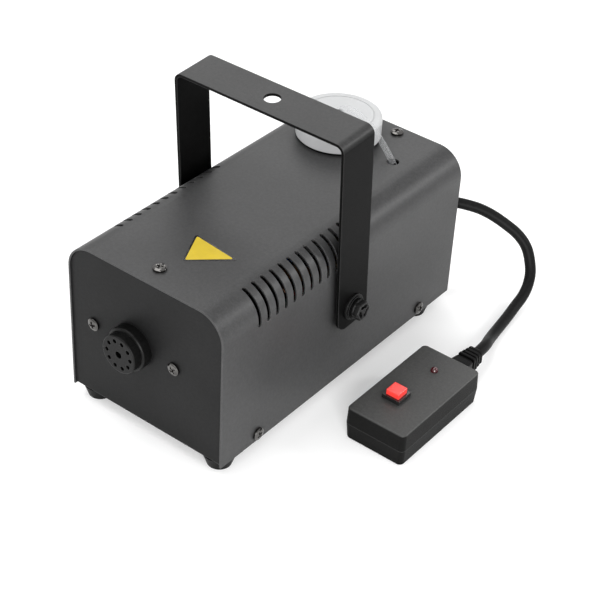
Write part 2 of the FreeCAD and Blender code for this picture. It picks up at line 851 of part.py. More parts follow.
def tank_lid():
    rise = "lid_top_z - lid_low_z"
    rim = ("tank_x", "tank_y", "lid_low_z")
    cap = rod("LidBlank", rim, "z", "lid_radius", rise)
    soft = softened("LidSoft", cap, "2", circle_at(SIZES["lid_top_z"], SIZES["lid_radius"]))
    skirt = rod("LidHollow", rim, "z", "neck_radius + lid_gap", f"{rise} - lid_roof")
    boss = rod("LidBoss", ("tank_x", "tank_y", "lid_top_z - gap"), "z", "boss_radius", "boss_rise + gap")
    bore = rod("LidBore", rim, "z", "tube_radius + slip", f"2*({rise})")
    whole = joined("LidWhole", carved("LidCup", soft, skirt), boss)
    finish("tank_lid", carved("Lid", whole, bore))
    weight_low = ("tank_x", "tank_y", "tank_floor_z + 4")
    tube_low = ("tank_x", "tank_y", "tank_floor_z + 14")
    outer = rod("PickupOuter", tube_low, "z", "tube_radius", "lid_top_z + 1 - tank_floor_z - 14")
    inner = rod("PickupInner", tube_low, "z", "tube_bore", "lid_top_z")
    finish("pickup_tube", carved("Pickup", outer, inner))
    weight = rod("FilterBlank", weight_low, "z", "filter_radius", "filter_height")
    socket = rod("FilterBore", ("tank_x", "tank_y", "tank_floor_z + 10"), "z", "tube_radius + slip", "20")
    finish("intake_filter", carved("Filter", weight, socket))


# Points the clear tube passes between the lid and its hole, and its way through the hole.
TUBE_BENDS = (
    (-11.8, 86.6, 132.7),
    (-4, 86, 134.9),
    (9, 85, 131),
    (20.1, 84, 123.6),
)
TUBE_DIVE = Vector(1.8, -0.1, -2.2)


def suction_tube():
    """Clear tube that arches from the lid to the hole in the cover, and on inside to the pump."""
    start = numbers("tank_x", "tank_y", "lid_top_z + boss_rise + gap")
    end = numbers("tube_hole_x", "tube_hole_y", "cover_height - sheet")
    arch = [start, *(Vector(*point) for point in TUBE_BENDS), end]
    radius = SIZES["tube_radius"]
    finish("suction_tube", tube_along("SuctionTube", arch, radius, Vector(0, 0, 0.8), TUBE_DIVE))
    nipple = numbers("pump_x", "pump_y", "pump_high_z + gap")
    inside = [end + TUBE_DIVE * 0.05, end + Vector(4, -12, -13), end + Vector(5.5, -42, -13), nipple]
    finish("feed_hose", tube_along("FeedHose", inside, radius, TUBE_DIVE, Vector(0, 0, -4)))
    outlet = numbers("pump_x", "pump_y - pump_radius - 5.1", "pump_low_z + 5")
    port = numbers("nozzle_x", "heater_front_y + heater_length + gap", "nozzle_z")
    line = [outlet, outlet + Vector(-18, -14, 18), port]
    finish("pressure_pipe", tube_along("PressurePipe", line, 1.5, Vector(0, -4, 0), Vector(0, -6, 0)))


# ---- pump ----


def pump():
    centre = ("pump_x", "pump_y")
    height = "pump_high_z - pump_low_z"
    barrel = rod("PumpBarrel", (*centre, "pump_low_z"), "z", "pump_radius", height)
    outlet = rod("PumpOutlet", (*centre, "pump_low_z + 5"), "-y", "3", "pump_radius + 5")
    bore = rod("PumpBore", (*centre, "spring_low_z"), "z", "pump_bore", "pump_high_z - spring_low_z - 8")
    feed = rod("PumpFeed", (*centre, "pump_low_z + 5"), "z", "1.2", "100")
    exit_bore = rod("PumpExit", (*centre, "pump_low_z + 5"), "-y", "1.2", "40")
    finish("pump_barrel", carved("Pump", joined("PumpBlank", barrel, outlet), bore, feed, exit_bore))
    coil_low = ("pump_x - coil_half_x", "pump_y - coil_half_y", "coil_low_z")
    coil_size = ("2*coil_half_x", "2*coil_half_y", "coil_high_z - coil_low_z")
    coil = softened("CoilSoft", block("CoilBlank", coil_low, coil_size), "5", lambda e: runs_along(e, "z"))
    coil_bore = rod("CoilBore", (*centre, "coil_low_z"), "z", "pump_radius + slip", "100")
    finish("pump_coil", carved("Coil", coil, coil_bore))
    pump_frame()
    plunger = rod("Plunger", (*centre, "plunger_low_z"), "z", "plunger_radius", "plunger_length")
    finish("pump_plunger", plunger)
    pump_spring()


def pump_frame():
    """C-shaped steel yoke that closes the coil's magnetic path and stands on the floor."""
    body = new_body("Frame")
    side = sketch(body, "frame_side", "XZ_Plane", "coil_half_y - pump_y")
    right = "(pump_x + coil_half_x + gap)"
    left = "(pump_x - coil_half_x)"
    corners = (
        (left, "sheet + slip"), (f"{right} + 2", "sheet + slip"), (f"{right} + 2", "coil_high_z + 2.1"),
        (left, "coil_high_z + 2.1"), (left, "coil_high_z + gap"), (right, "coil_high_z + gap"),
        (right, "coil_low_z - gap"), (left, "coil_low_z - gap"), (left, "coil_low_z - 2.1"),
        (right, "coil_low_z - 2.1"), (right, "sheet + 2.05"), (left, "sheet + 2.05"),
    )
    draw_polygon(side, corners)
    pad(body, side, "2*coil_half_y", reverse=True)
    hole = sketch(body, "frame_bore", "XY_Plane", "coil_low_z - 5")
    draw_circle(hole, "pump_x", "pump_y", "pump_radius + slip")
    pocket(body, hole, "100", reverse=True)
    finish("pump_frame", body)


def pump_spring():
    """Coil spring under the plunger."""
    length = number("plunger_low_z - spring_low_z - 0.6")
    wire = SIZES["spring_wire"]
    helix = Part.makeHelix(length / 5, length - 2 * wire, SIZES["spring_radius"])
    section = Part.Wire(Part.Circle(Vector(SIZES["spring_radius"], 0, 0), Vector(0, 1, 0), wire).toShape())
    coil = Part.Wire(helix).makePipeShell([section], True, True)
    item = shaped("Spring", coil)
    place(item, ("pump_x", "pump_y", "spring_low_z + spring_wire + gap"), Rotation())
    finish("pump_spring", item)


# ---- control electronics ----


def electronics():
    left, front = "board_x - board_width/2", "board_y - board_length/2"
    top = "(board_low_z + board_thickness)"
    across = (f"{left} + 4", f"{left} + board_width - 4")
    along = (f"{front} + 4", f"{front} + board_length - 4")
    corners = [(x, y) for x in across for y in along]
    card_size = ("board_width", "board_length", "board_thickness")
    card = block("BoardBlank", (left, front, "board_low_z"), card_size)
    holes = []
    for n, xy in enumerate(corners):
        holes.append(rod(f"BoardHole{n}", (*xy, "board_low_z"), "z", "clear_radius", "5"))
    finish("control_board", carved("Board", card, *holes))
    posts, fixings = [], []
    for n, xy in enumerate(corners):
        post = rod(f"Post{n}", (*xy, "sheet"), "z", "3", "board_low_z - sheet")
        tapped = rod(f"PostHole{n}", (*xy, "sheet"), "z", "tap_radius", "20")
        posts.append(carved(f"Standoff{n}", post, tapped))
        fixings.append(screw(f"BoardScrew{n}", (*xy, top), "z", shank="5", head="3.2", depth="1.8"))
    finish("board_standoffs", group("Standoffs", posts))
    finish("board_screws", group("BoardScrews", fixings))
    finish("relay", block("Relay", (f"{left} + 9", f"{front} + 30", top), ("19", "15.5", "15.8")))
    finish("terminal_block", block("Terminals", (f"{left} + 10", f"{front} + 2", top), ("35", "8", "10")))
    core = block("TransformerCore", (f"{left} + 31", f"{front} + 18", top), ("22", "26", "6"))
    winding = block("TransformerCoil", (f"{left} + 33", f"{front} + 22", top), ("18", "18", "20"))
    finish("transformer", joined("Transformer", core, winding))
    radio = block("Receiver", (f"{left} + 26", f"{front} + 14", top), ("20", "1.6", "12"))
    aerial = rod("Aerial", (f"{left} + 28", f"{front} + 15.5", top), "z", "0.6", "62")
    finish("receiver_module", joined("ReceiverModule", radio, aerial))


LEAD_RADIUS = 0.9


def wiring():
    """Insulated leads between the terminal block, the heater and the rear connectors."""
    block_top = number("board_low_z + board_thickness + 10.2")
    rows = []
    heater_rear = number("heater_front_y + heater_length + 10.1")
    for n, side in enumerate((-2.5, 2.5)):
        pin_end = Vector(number("nozzle_x") + side, heater_rear, SIZES["element_z"])
        foot = Vector(-34 + 8 * n, number("board_y - board_length/2 + 6"), block_top)
        bend = Vector((pin_end.x + foot.x) / 2 - 2, heater_rear + 6, block_top + 14)
        path = [foot, bend, pin_end]
        rows.append(tube_along(f"HeaterLead{n}", path, LEAD_RADIUS, Vector(0, 0, 2), Vector(0, -2, 0)))
    for n in range(2):
        foot = Vector(-18 + 8 * n, number("board_y - board_length/2 + 6"), block_top)
        far = numbers("switch_x", f"{PANEL_Y} - 20.1", "switch_z") + Vector(-2 + 4 * n, 0, -3)
        bends = [Vector(8 + 6 * n, 8, block_top + 14 + 3 * n), Vector(19 + 2 * n, 52, 40 + 3 * n)]
        path = [foot, *bends, far]
        rows.append(tube_along(f"MainsLead{n}", path, LEAD_RADIUS, Vector(0, 0, 2), Vector(0, 2, 0)))
    finish("internal_wiring", group("Wiring", rows))


# ---- rear connectors ----


def rear_connectors():
    wall = PANEL_Y
    sockets = {}
    for name, flange, depth in (("inlet", "2.5", "22"), ("switch", "1", "16")):
        x, z = f"{name}_x", f"{name}_z"
        half_x, half_z = f"{name}_width/2", f"{name}_height/2"
        rim = (f"{x} - {half_x} - 2", wall, f"{z} - {half_z} - 2")
        frame = block(name + "_frame", rim, (f"{name}_width + 4", flange, f"{name}_height + 4"))
        shell_low = (f"{x} - {half_x}", f"{wall} - {depth}", f"{z} - {half_z}")
        shell = block(name + "_shell", shell_low, (f"{name}_width", f"{depth} + 0.5", f"{name}_height"))
        whole = joined(name + "_whole", frame, shell)
        hollow_low = (f"{x} - {half_x} + 1.5", f"{wall} - {depth} + 4", f"{z} - {half_z} + 1.5")
        hollow = block(name + "_hollow", hollow_low, (f"{name}_width - 3", "60", f"{name}_height - 3"))
        sockets[name] = carved(name + "_socket", whole, hollow)
    pins = []
    for n, (x, z) in enumerate(((-7, -2), (0, 3), (7, -2))):
        pin_low = (f"inlet_x + {x} - 1", f"{wall} - 18.5", f"inlet_z + {z} - 2")
        pins.append(block(f"InletPin{n}", pin_low, ("2", "16", "4")))
    finish("mains_inlet", joined("MainsInlet", sockets["inlet"], *pins))
    axle_end = ("switch_x - switch_width/2 + 1", f"{wall} - rocker_depth", "switch_z")
    axle = rod("SwitchAxle", axle_end, "x", "axle_radius", "switch_width - 2")
    finish("switch_body", joined("SwitchBody", sockets["switch"], axle))
    rocker()
    cup = rod("FuseBarrel", ("fuse_x", f"{wall} - 26", "fuse_z"), "y", "fuse_radius", "26")
    collar = rod("FuseFlange", ("fuse_x", wall, "fuse_z"), "y", "fuse_radius + 2", "2")
    bore = rod("FuseBore", ("fuse_x", f"{wall} - 24", "fuse_z"), "y", "fuse_radius - 1.5", "60")
    finish("fuse_holder", carved("FuseHolder", joined("FuseBody", cup, collar), bore))
    cap = rod("FuseCapHead", ("fuse_x", f"{wall} + 2.05", "fuse_z"), "y", "fuse_radius + 1", "6")
    stem = rod("FuseCapStem", ("fuse_x", f"{wall} - 3", "fuse_z"), "y", "fuse_radius - 1.55", "6")
    slot = block("FuseCapSlot", ("fuse_x - 5", f"{wall} + 6.8", "fuse_z - 0.7"), ("10", "3", "1.4"))
    finish("fuse_cap", carved("FuseCap", joined("FuseCapBody", cap, stem), slot))
    finish("fuse_link", rod("FuseTube", ("fuse_x", f"{wall} - 23.9", "fuse_z"), "y", "2.5", "20"))
    shell = rod("JackShell", ("socket_x", f"{wall} - 14", "socket_z"), "y", "socket_radius", "14")
    rim = rod("JackRim", ("socket_x", wall, "socket_z"), "y", "socket_radius + 2", "2")
    mouth = rod("JackMouth", ("socket_x", f"{wall} - 11", "socket_z"), "y", "socket_radius - 1.5", "60")
    finish("remote_socket", carved("Jack", joined("JackBody", shell, rim), mouth))


def rocker():
    """Rocker whose two faces meet in a shallow V; it tips about a level axis in the switch body."""
    body = new_body("Rocker")
    side = sketch(body, "rocker_side", "YZ_Plane", "switch_x - switch_width/2 + 1.7")
    wall = PANEL_Y
    half = "(switch_height/2 - 2.4)"
    corners = (
        (f"{wall} - 3", f"switch_z - {half}"),
        (f"{wall} + 2.4", f"switch_z - {half}"),
        (f"{wall} + 1", "switch_z"),
        (f"{wall} + 2.4", f"switch_z + {half}"),
        (f"{wall} - 3", f"switch_z + {half}"),
        (f"{wall} - 5", "switch_z"),
    )
    draw_polygon(side, corners)
    draw_circle(side, f"{wall} - rocker_depth", "switch_z", "axle_radius + slip")
    pad(body, side, "switch_width - 3.4")
    finish("switch_rocker", body)


# ---- hanging bracket ----


def bracket():
    """Flat strip folded into a U, drawn about its pivot and leaned towards the front."""
    body = new_body("Bracket")
    half, inner = "bracket_half_span", "(bracket_half_span - bracket_thickness)"
    outline = sketch(body, "bracket_outline", "XZ_Plane")
    draw_rectangle(outline, f"-{half}", "-bracket_drop", half, "bracket_rise")
    pad(body, outline, "bracket_width", both_ways=True)
    inside = sketch(body, "bracket_inside", "XZ_Plane")
    draw_rectangle(inside, f"-{inner}", "-2*bracket_drop", inner, "bracket_rise - bracket_thickness")
    pocket(body, inside)
    inner_top = number("bracket_rise - bracket_thickness")
    round_edges(body, "bracket_inner_bends", "bracket_bend - bracket_thickness", edge_at("y", z=inner_top))
    round_edges(body, "bracket_bends", "bracket_bend", edge_at("y", z=SIZES["bracket_rise"]))
    ends = edge_at("x", y=number("bracket_width/2"), z=SIZES["bracket_drop"])
    round_edges(body, "bracket_ends", "bracket_end_radius", lambda e: ends(e) and e.CenterOfMass.z < 0)
    above = sketch(body, "hanging_hole", "XY_Plane", "bracket_rise")
    draw_circle(above, "0", "0", "bracket_hole_radius")
    pocket(body, above, "2*bracket_thickness")
    across = sketch(body, "pivot_holes", "YZ_Plane")
    draw_circle(across, "0", "0", "pivot_radius + pivot_play")
    pocket(body, across)
    place(body, ("0", "0", "pivot_z"), Rotation(Vector(1, 0, 0), SIZES["bracket_lean"]))
    finish("bracket", body)


PIVOT = ("0", "0", "pivot_z")


def pivot_hardware():
    bore = "pivot_radius + pivot_play"
    outer = "(bracket_half_span + slip)"
    between = "bracket_half_span - bracket_thickness - cover_width/2 - gap"
    seat = "(bracket_half_span + washer_stack + gap + slip)"
    fibre, steel, nuts = [], [], []
    for side, sign in (("right", ""), ("left", "-")):
        along = sign + "x"
        name = side.title()
        fibre_base = (f"{sign}(cover_width/2 + slip)", "0", "pivot_z")
        disc = rod(name + "Fibre", fibre_base, along, "washer_radius", between)
        hole = rod(name + "FibreHole", PIVOT, along, bore, "cover_width")
        fibre.append(carved(name + "FibreWasher", disc, hole))
        wide_base = (f"{sign}{outer}", "0", "pivot_z")
        wide = rod(name + "Wide", wide_base, along, "washer_radius", "washer_stack/2")
        small_base = (f"{sign}({outer} + washer_stack/2)", "0", "pivot_z")
        small = rod(name + "Small", small_base, along, "washer_radius - 1", "washer_stack/2")
        steel_hole = rod(name + "SteelHole", PIVOT, along, bore, "cover_width")
        steel.append(carved(name + "Washers", joined(name + "Stack", wide, small), steel_hole))
        nut = document.addObject("Part::Prism", name + "NutBlank")
        nut.Polygon = 6
        bind(nut, "Circumradius", "nut_radius")
        bind(nut, "Height", "nut_height")
        nut_base = f"{sign}(cover_width/2 - sheet - nut_height - slip)"
        place(nut, (nut_base, "0", "pivot_z"), TURNS[along])
        nut_hole = rod(name + "NutHole", PIVOT, along, bore, "cover_width")
        nuts.append(carved(name + "Nut", nut, nut_hole))
        knob(side, sign, along, seat)
    finish("fibre_washers", group("FibreWashers", fibre))
    finish("knob_washers", group("KnobWashers", steel))
    finish("pivot_nuts", group("PivotNuts", nuts))


def knob(side, sign, along, seat):
    """Moulded clamp knob with six lobes and a dished end, on a steel stud."""
    name = side.title() + "Knob"
    base = (f"{sign}{seat}", "0", "pivot_z")
    core = rod(name + "Core", base, along, "knob_radius - 1.1", "knob_length")
    collar = rod(name + "Collar", base, along, "knob_radius", "knob_collar")
    lobes = []
    for n in range(6):
        angle = f"({n} * 60deg)"
        y = f"(knob_radius - lobe_radius)*cos({angle})"
        z = f"pivot_z + (knob_radius - lobe_radius)*sin({angle})"
        lobes.append(rod(f"{name}Lobe{n}", (base[0], y, z), along, "lobe_radius", "knob_length"))
    blank = joined(name + "Blank", core, collar, *lobes)
    dish_base = (f"{sign}({seat} + knob_length - knob_dish)", "0", "pivot_z")
    dish = rod(name + "Dish", dish_base, along, "knob_radius - 3", "2*knob_dish")
    hole = rod(name + "Hole", base, along, "pivot_radius + 0.02", "stud_grip")
    finish(f"knob_{side}", carved(name, blank, dish, hole))
    start = (f"{sign}stud_inner_x", "0", "pivot_z")
    stud = rod(name + "Stud", start, along, "pivot_radius", f"{seat} + stud_grip - stud_inner_x")
    finish(f"stud_{side}", stud)


# ---- wired remote ----

SEAM_Z = "(remote_seam - foot_height)"
REMOTE_TOP = "(remote_height - foot_height)"
REMOTE_REAR = "(remote_y + remote_length/2)"
REMOTE_SCREWS = tuple(
    (f"remote_x {across} remote_screw_x", f"remote_y {along} remote_screw_y")
    for across in "-+"
    for along in "-+"
)


def remote_half(name, rise, reverse, taper):
    """One moulded half shell, drafted away from the seam, with a hollow open at the seam."""
    body = new_body(name)
    outline = sketch(body, name + "_outline", "XY_Plane", SEAM_Z)
    left, right = "remote_x - remote_width/2", "remote_x + remote_width/2"
    front, rear = "remote_y - remote_length/2", "remote_y + remote_length/2"
    draw_rectangle(outline, left, front, right, rear)
    pad(body, outline, rise, reverse=reverse, taper=taper)
    round_edges(body, name + "_corners", "remote_corner", nearly_upright)
    far = number(f"{SEAM_Z} + {'-' if reverse else ''}({rise})")
    round_edges(body, name + "_rim", "remote_rim", level_at(far))
    hollow = sketch(body, name + "_hollow", "XY_Plane", SEAM_Z)
    inset = "(remote_wall + 1)"
    low_x, high_x = f"{left} + {inset}", f"{right} - {inset}"
    draw_rectangle(hollow, low_x, f"{front} + {inset}", high_x, f"{rear} - {inset}")
    pocket(body, hollow, f"{rise} - remote_wall", reverse=not reverse)
    return body


def remote_shells():
    upper = remote_half("UpperShell", "remote_height - remote_seam", False, -2)
    window = sketch(upper, "button_window", "XY_Plane", REMOTE_TOP)
    half = "(bezel_side/2 - 0.9)"
    left, right = f"button_x - {half}", f"button_x + {half}"
    draw_rectangle(window, left, f"button_y - {half}", right, f"button_y + {half}")
    draw_circle(window, "light_x", "light_y", "light_radius + slip")
    pocket(upper, window, "2*remote_wall")
    entry = sketch(upper, "plug_entry", "XZ_Plane", f"-{REMOTE_REAR}")
    left, right = "plug_x - plug_half - 2*gap", "plug_x + plug_half + 2*gap"
    draw_rectangle(entry, left, SEAM_Z, right, "plug_z + plug_rise + 2*gap")
    pocket(upper, entry, "2*remote_wall", reverse=True)
    finish("remote_upper_shell", upper)
    lower = remote_half("LowerShell", "remote_seam", True, -4)
    bosses = sketch(lower, "remote_bosses", "XY_Plane", "remote_wall - foot_height")
    heads = sketch(lower, "remote_head_wells", "XY_Plane", "-foot_height")
    taps = sketch(lower, "remote_taps", "XY_Plane", "-foot_height")
    for x, y in REMOTE_SCREWS:
        draw_circle(bosses, x, y, "remote_boss_radius")
        draw_circle(heads, x, y, "remote_well_radius")
        draw_circle(taps, x, y, "tap_radius")
    pad(lower, bosses, "remote_boss_height")
    pocket(lower, heads, "remote_wall", reverse=True)
    pocket(lower, taps, "remote_wall + 2*remote_boss_height", reverse=True)
    finish("remote_lower_shell", lower)


def remote_inside():
    low = "(remote_wall - foot_height)"
    fixings = []
    for n, (x, y) in enumerate(REMOTE_SCREWS):
        fixings.append(screw(f"RemoteScrew{n}", (x, y, low), "-z", shank="6", head="2.8", depth="1.4"))
    finish("remote_screws", group("RemoteScrews", fixings))
    card_low = ("remote_x - remote_board_width/2", "remote_y - remote_board_length/2", f"{low} + 2")
    card_size = ("remote_board_width", "remote_board_length", "board_thickness")
    finish("remote_board", block("RemoteBoard", card_low, card_size))
    half, body_half = "bezel_side/2", "(bezel_side/2 - 1)"
    base = f"{low} + 3.7"
    rim_low = (f"button_x - {half}", f"button_y - {half}", REMOTE_TOP)
    rim = block("BezelRim", rim_low, ("bezel_side", "bezel_side", f"bezel_top_z - {REMOTE_TOP}"))
    box_low = (f"button_x - {body_half}", f"button_y - {body_half}", base)
    box = block("BezelBox", box_low, (f"2*{body_half}", f"2*{body_half}", f"{REMOTE_TOP} - ({base})"))
    well_low = ("button_x - bezel_inner/2", "button_y - bezel_inner/2", f"{REMOTE_TOP} - bezel_depth")
    well = block("BezelWell", well_low, ("bezel_inner", "bezel_inner", "2*bezel_depth"))
    finish("button_bezel", carved("Bezel", joined("BezelBody", rim, box), well))
    button_low = f"({REMOTE_TOP} - button_depth)"
    cap_low = ("button_x - button_side/2", "button_y - button_side/2", button_low)
    cap = block("ButtonBlank", cap_low, ("button_side", "button_side", f"button_top_z - {button_low}"))
    soft_cap = softened("Button", cap, "0.7", lambda e: near(e.BoundBox.ZMax, SIZES["button_top_z"]))
    finish("remote_button", soft_cap)
    stem = rod("LightStem", ("light_x", "light_y", f"{REMOTE_TOP} - 4"), "z", "light_radius", "4.2")
    dome = document.addObject("Part::Sphere", "LightDome")
    bind(dome, "Radius", "light_radius")
    place(dome, ("light_x", "light_y", f"{REMOTE_TOP} + 0.2"))
    finish("remote_light", joined("Light", stem, dome))


def cable():
    """Moulded plug and ribbed boot on the remote, round cable, and the plug in the machine's socket."""
    rear = REMOTE_REAR
    block_low = ("plug_x - plug_half", f"{rear} - 4.9", f"{SEAM_Z} + gap")
    block_height = f"plug_z + plug_rise - {SEAM_Z} - gap"
    body = block("PlugBlock", block_low, ("2*plug_half", "14.9", block_height))
    soft = softened("PlugSoft", body, "1.2", lambda e: runs_along(e, "y"))
    neck = rod("BootCore", ("plug_x", f"{rear} + 9", "plug_z"), "y", "boot_radius", "15.5")
    ribs = []
    for n in range(4):
        rib_base = ("plug_x", f"{rear} + 11 + {n}*rib_pitch", "plug_z")
        ribs.append(rod(f"BootRib{n}", rib_base, "y", f"rib_radius - 0.35*{n}", "rib_width"))
    bore = rod("BootBore", ("plug_x", f"{rear} + 14", "plug_z"), "y", "cable_radius + hole_play", "60")
    finish("strain_relief", carved("Boot", joined("BootBlank", soft, neck, *ribs), bore))
    start = numbers("socket_x", f"{PANEL_Y} + cable_start", "socket_z")
    end = numbers("plug_x", f"{rear} + 14.1", "plug_z")
    bends = [Vector(*point) for point in CABLE_BENDS]
    leads = Vector(0, 8, 0), Vector(0, -10.5, 0)
    finish("remote_cable", tube_along("Cable", [start, *bends, end], SIZES["cable_radius"], *leads))
    shaft_base = f"{PANEL_Y} - 8"
    pin = rod("JackPin", ("socket_x", shaft_base, "socket_z"), "y", "socket_radius - 1.55", "12")
    grip = rod("JackGrip", ("socket_x", f"{PANEL_Y} + 2 + slip", "socket_z"), "y", "8.4", "grip_length")
    tail_base = ("socket_x", f"{PANEL_Y} + 2 + slip + grip_length", "socket_z")
    tail = cone("JackTail", tail_base, "y", "7", "cable_radius + 1.6", "9")
    bore_base = ("socket_x", f"{PANEL_Y} + cable_start - slip", "socket_z")
    tail_bore = rod("JackBore", bore_base, "y", "cable_radius + hole_play", "30")
    finish("cable_plug", carved("JackPlug", joined("JackPlugBlank", pin, grip, tail), tail_bore))


# ---- build, test and write ----


def check():
    """Stop on any failed object or any sub-part that isn't a set of valid solids."""
    for item in document.Objects:
        if "Invalid" in item.State or "Error" in item.State:
            raise SystemExit(f"{item.Name} failed: {item.State}")
    for label, item in subparts.items():
        shape = item.Shape
        if shape.isNull() or not shape.isValid() or not shape.Solids:
            raise SystemExit(f"{label} has no valid solid")


def write():
    os.makedirs("parts", exist_ok=True)
    for label, item in subparts.items():
        item.Shape.exportStep(f"parts/{label}.step")


for make in (
    top_cover,
    chassis,
    screws,
    feet,
    sticker,
    nozzle,
    heater,
    tank,
    tank_lid,
    suction_tube,
    pump,
    electronics,
    wiring,
    rear_connectors,
    bracket,
    pivot_hardware,
    remote_shells,
    remote_inside,
    cable,
):
    make()
document.recompute()
check()
write()
print(len(subparts), "sub-parts written")
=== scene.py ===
import json
import math

import bmesh
import bpy
from mathutils import Matrix, Vector


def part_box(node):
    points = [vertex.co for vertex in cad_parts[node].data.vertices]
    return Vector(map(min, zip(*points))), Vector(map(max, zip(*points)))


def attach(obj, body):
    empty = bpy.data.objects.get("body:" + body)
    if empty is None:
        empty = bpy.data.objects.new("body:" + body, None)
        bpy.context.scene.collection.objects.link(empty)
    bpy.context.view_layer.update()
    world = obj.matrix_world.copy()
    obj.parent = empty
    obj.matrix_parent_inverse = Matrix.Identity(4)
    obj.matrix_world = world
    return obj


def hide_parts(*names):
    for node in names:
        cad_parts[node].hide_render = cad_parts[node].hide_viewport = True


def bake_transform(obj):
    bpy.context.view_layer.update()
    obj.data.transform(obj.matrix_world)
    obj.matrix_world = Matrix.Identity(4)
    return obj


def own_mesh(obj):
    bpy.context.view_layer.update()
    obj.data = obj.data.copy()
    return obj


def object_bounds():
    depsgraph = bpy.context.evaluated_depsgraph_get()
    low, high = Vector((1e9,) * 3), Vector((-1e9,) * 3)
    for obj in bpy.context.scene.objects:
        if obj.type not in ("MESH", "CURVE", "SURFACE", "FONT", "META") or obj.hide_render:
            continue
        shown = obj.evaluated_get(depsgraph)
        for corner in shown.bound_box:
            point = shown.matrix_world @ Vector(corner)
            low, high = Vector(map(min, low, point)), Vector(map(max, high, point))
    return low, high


# Looks of the fog machine: every CAD node gets a procedural material, and the pieces that need more
# detail than the CAD holds are built here as meshes. The scene is in metres, +X right, -Y front, +Z up.

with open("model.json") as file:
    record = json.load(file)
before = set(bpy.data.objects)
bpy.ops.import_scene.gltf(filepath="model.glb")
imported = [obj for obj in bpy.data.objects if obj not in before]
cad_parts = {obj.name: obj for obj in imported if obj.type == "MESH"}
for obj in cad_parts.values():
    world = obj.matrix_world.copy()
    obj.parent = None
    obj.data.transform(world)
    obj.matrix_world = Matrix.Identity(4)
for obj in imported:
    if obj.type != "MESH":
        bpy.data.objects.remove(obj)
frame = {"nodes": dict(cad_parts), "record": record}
CAD_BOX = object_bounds()
MM = 0.001
HOUSING = "housing"
REMOTE = "remote"
TANK_CAP = "tank_cap"
AXES = {"x": Vector((1, 0, 0)), "y": Vector((0, 1, 0)), "z": Vector((0, 0, 1))}

# Places on the machine, in millimetres.
COVER_TOP = 112
COVER_SIDE = 62
PANEL_FACE = -121.5
PIVOT_LEVEL = 57
LID_X = -16
LID_Y = 87
REMOTE_X = 117
REMOTE_Y = 2

# Steps round a screw head, and the radius of every screw's shank in millimetres.
SCREW_STEPS = 72
SHANK_RADIUS = 1.75


# ---- materials ----


def new_material(name):
    """A material with only a Principled shader on its output; returns it, its nodes and that shader."""
    material = bpy.data.materials.new(name)
    material.use_nodes = True
    nodes = material.node_tree.nodes
    nodes.clear()
    output = nodes.new("ShaderNodeOutputMaterial")
    shader = nodes.new("ShaderNodeBsdfPrincipled")
    material.node_tree.links.new(shader.outputs["BSDF"], output.inputs["Surface"])
    return material, nodes, shader


def link(material, source, target):
    """Join one node's output to another's input."""
    material.node_tree.links.new(source, target)


def object_point(material, stretch=(1, 1, 1)):
    """Object coordinates in metres, stretched for a grain that runs one way."""
    nodes = material.node_tree.nodes
    coordinates = nodes.new("ShaderNodeTexCoord")
    mapping = nodes.new("ShaderNodeMapping")
    mapping.inputs["Scale"].default_value = stretch
    link(material, coordinates.outputs["Object"], mapping.inputs["Vector"])
    return mapping.outputs["Vector"]


def noise(material, point, scale, detail=3, roughness=0.5):
    """A noise value; scale is in cycles per metre."""
    texture = material.node_tree.nodes.new("ShaderNodeTexNoise")
    texture.inputs["Scale"].default_value = scale
    texture.inputs["Detail"].default_value = detail
    texture.inputs["Roughness"].default_value = roughness
    link(material, point, texture.inputs["Vector"])
    return texture.outputs["Fac"]


def remap(material, value, low, high, start=0.3, end=0.7):
    """Spread a value from one range onto another."""
    spread = material.node_tree.nodes.new("ShaderNodeMapRange")
    spread.inputs["From Min"].default_value = start
    spread.inputs["From Max"].default_value = end
    spread.inputs["To Min"].default_value = low
    spread.inputs["To Max"].default_value = high
    link(material, value, spread.inputs["Value"])
    return spread.outputs["Result"]


def two_colours(material, factor, first, second):
    """A mix of two colours by a value."""
    mix = material.node_tree.nodes.new("ShaderNodeMix")
    mix.data_type = "RGBA"
    mix.inputs["A"].default_value = (*first, 1)
    mix.inputs["B"].default_value = (*second, 1)
    link(material, factor, mix.inputs["Factor"])
    return mix.outputs["Result"]


def shaded(material, colour, share):
    """A colour multiplied by a value."""
    scale = material.node_tree.nodes.new("ShaderNodeVectorMath")
    scale.operation = "SCALE"
    link(material, colour, scale.inputs[0])
    link(material, share, scale.inputs["Scale"])
    return scale.outputs["Vector"]


def paint(material, shader, value, dark, light):
    """Colour the surface from dark to light by a value."""
    colour = two_colours(material, remap(material, value, 0, 1), dark, light)
    link(material, colour, shader.inputs["Base Color"])


def roughen(material, shader, value, low, high):
    """Spread the roughness from low to high by a value."""
    link(material, remap(material, value, low, high), shader.inputs["Roughness"])


def bump(material, shader, height, strength, depth, radius=0.0):
    """Fine relief; depth is in metres. With a radius, edges also catch light as if slightly rounded."""
    nodes = material.node_tree.nodes
    relief = nodes.new("ShaderNodeBump")
    relief.inputs["Strength"].default_value = strength
    relief.inputs["Distance"].default_value = depth
    link(material, height, relief.inputs["Height"])
    if radius:
        soft = nodes.new("ShaderNodeBevel")
        soft.samples = 4
        soft.inputs["Radius"].default_value = radius
        link(material, soft.outputs["Normal"], relief.inputs["Normal"])
    link(material, relief.outputs["Normal"], shader.inputs["Normal"])


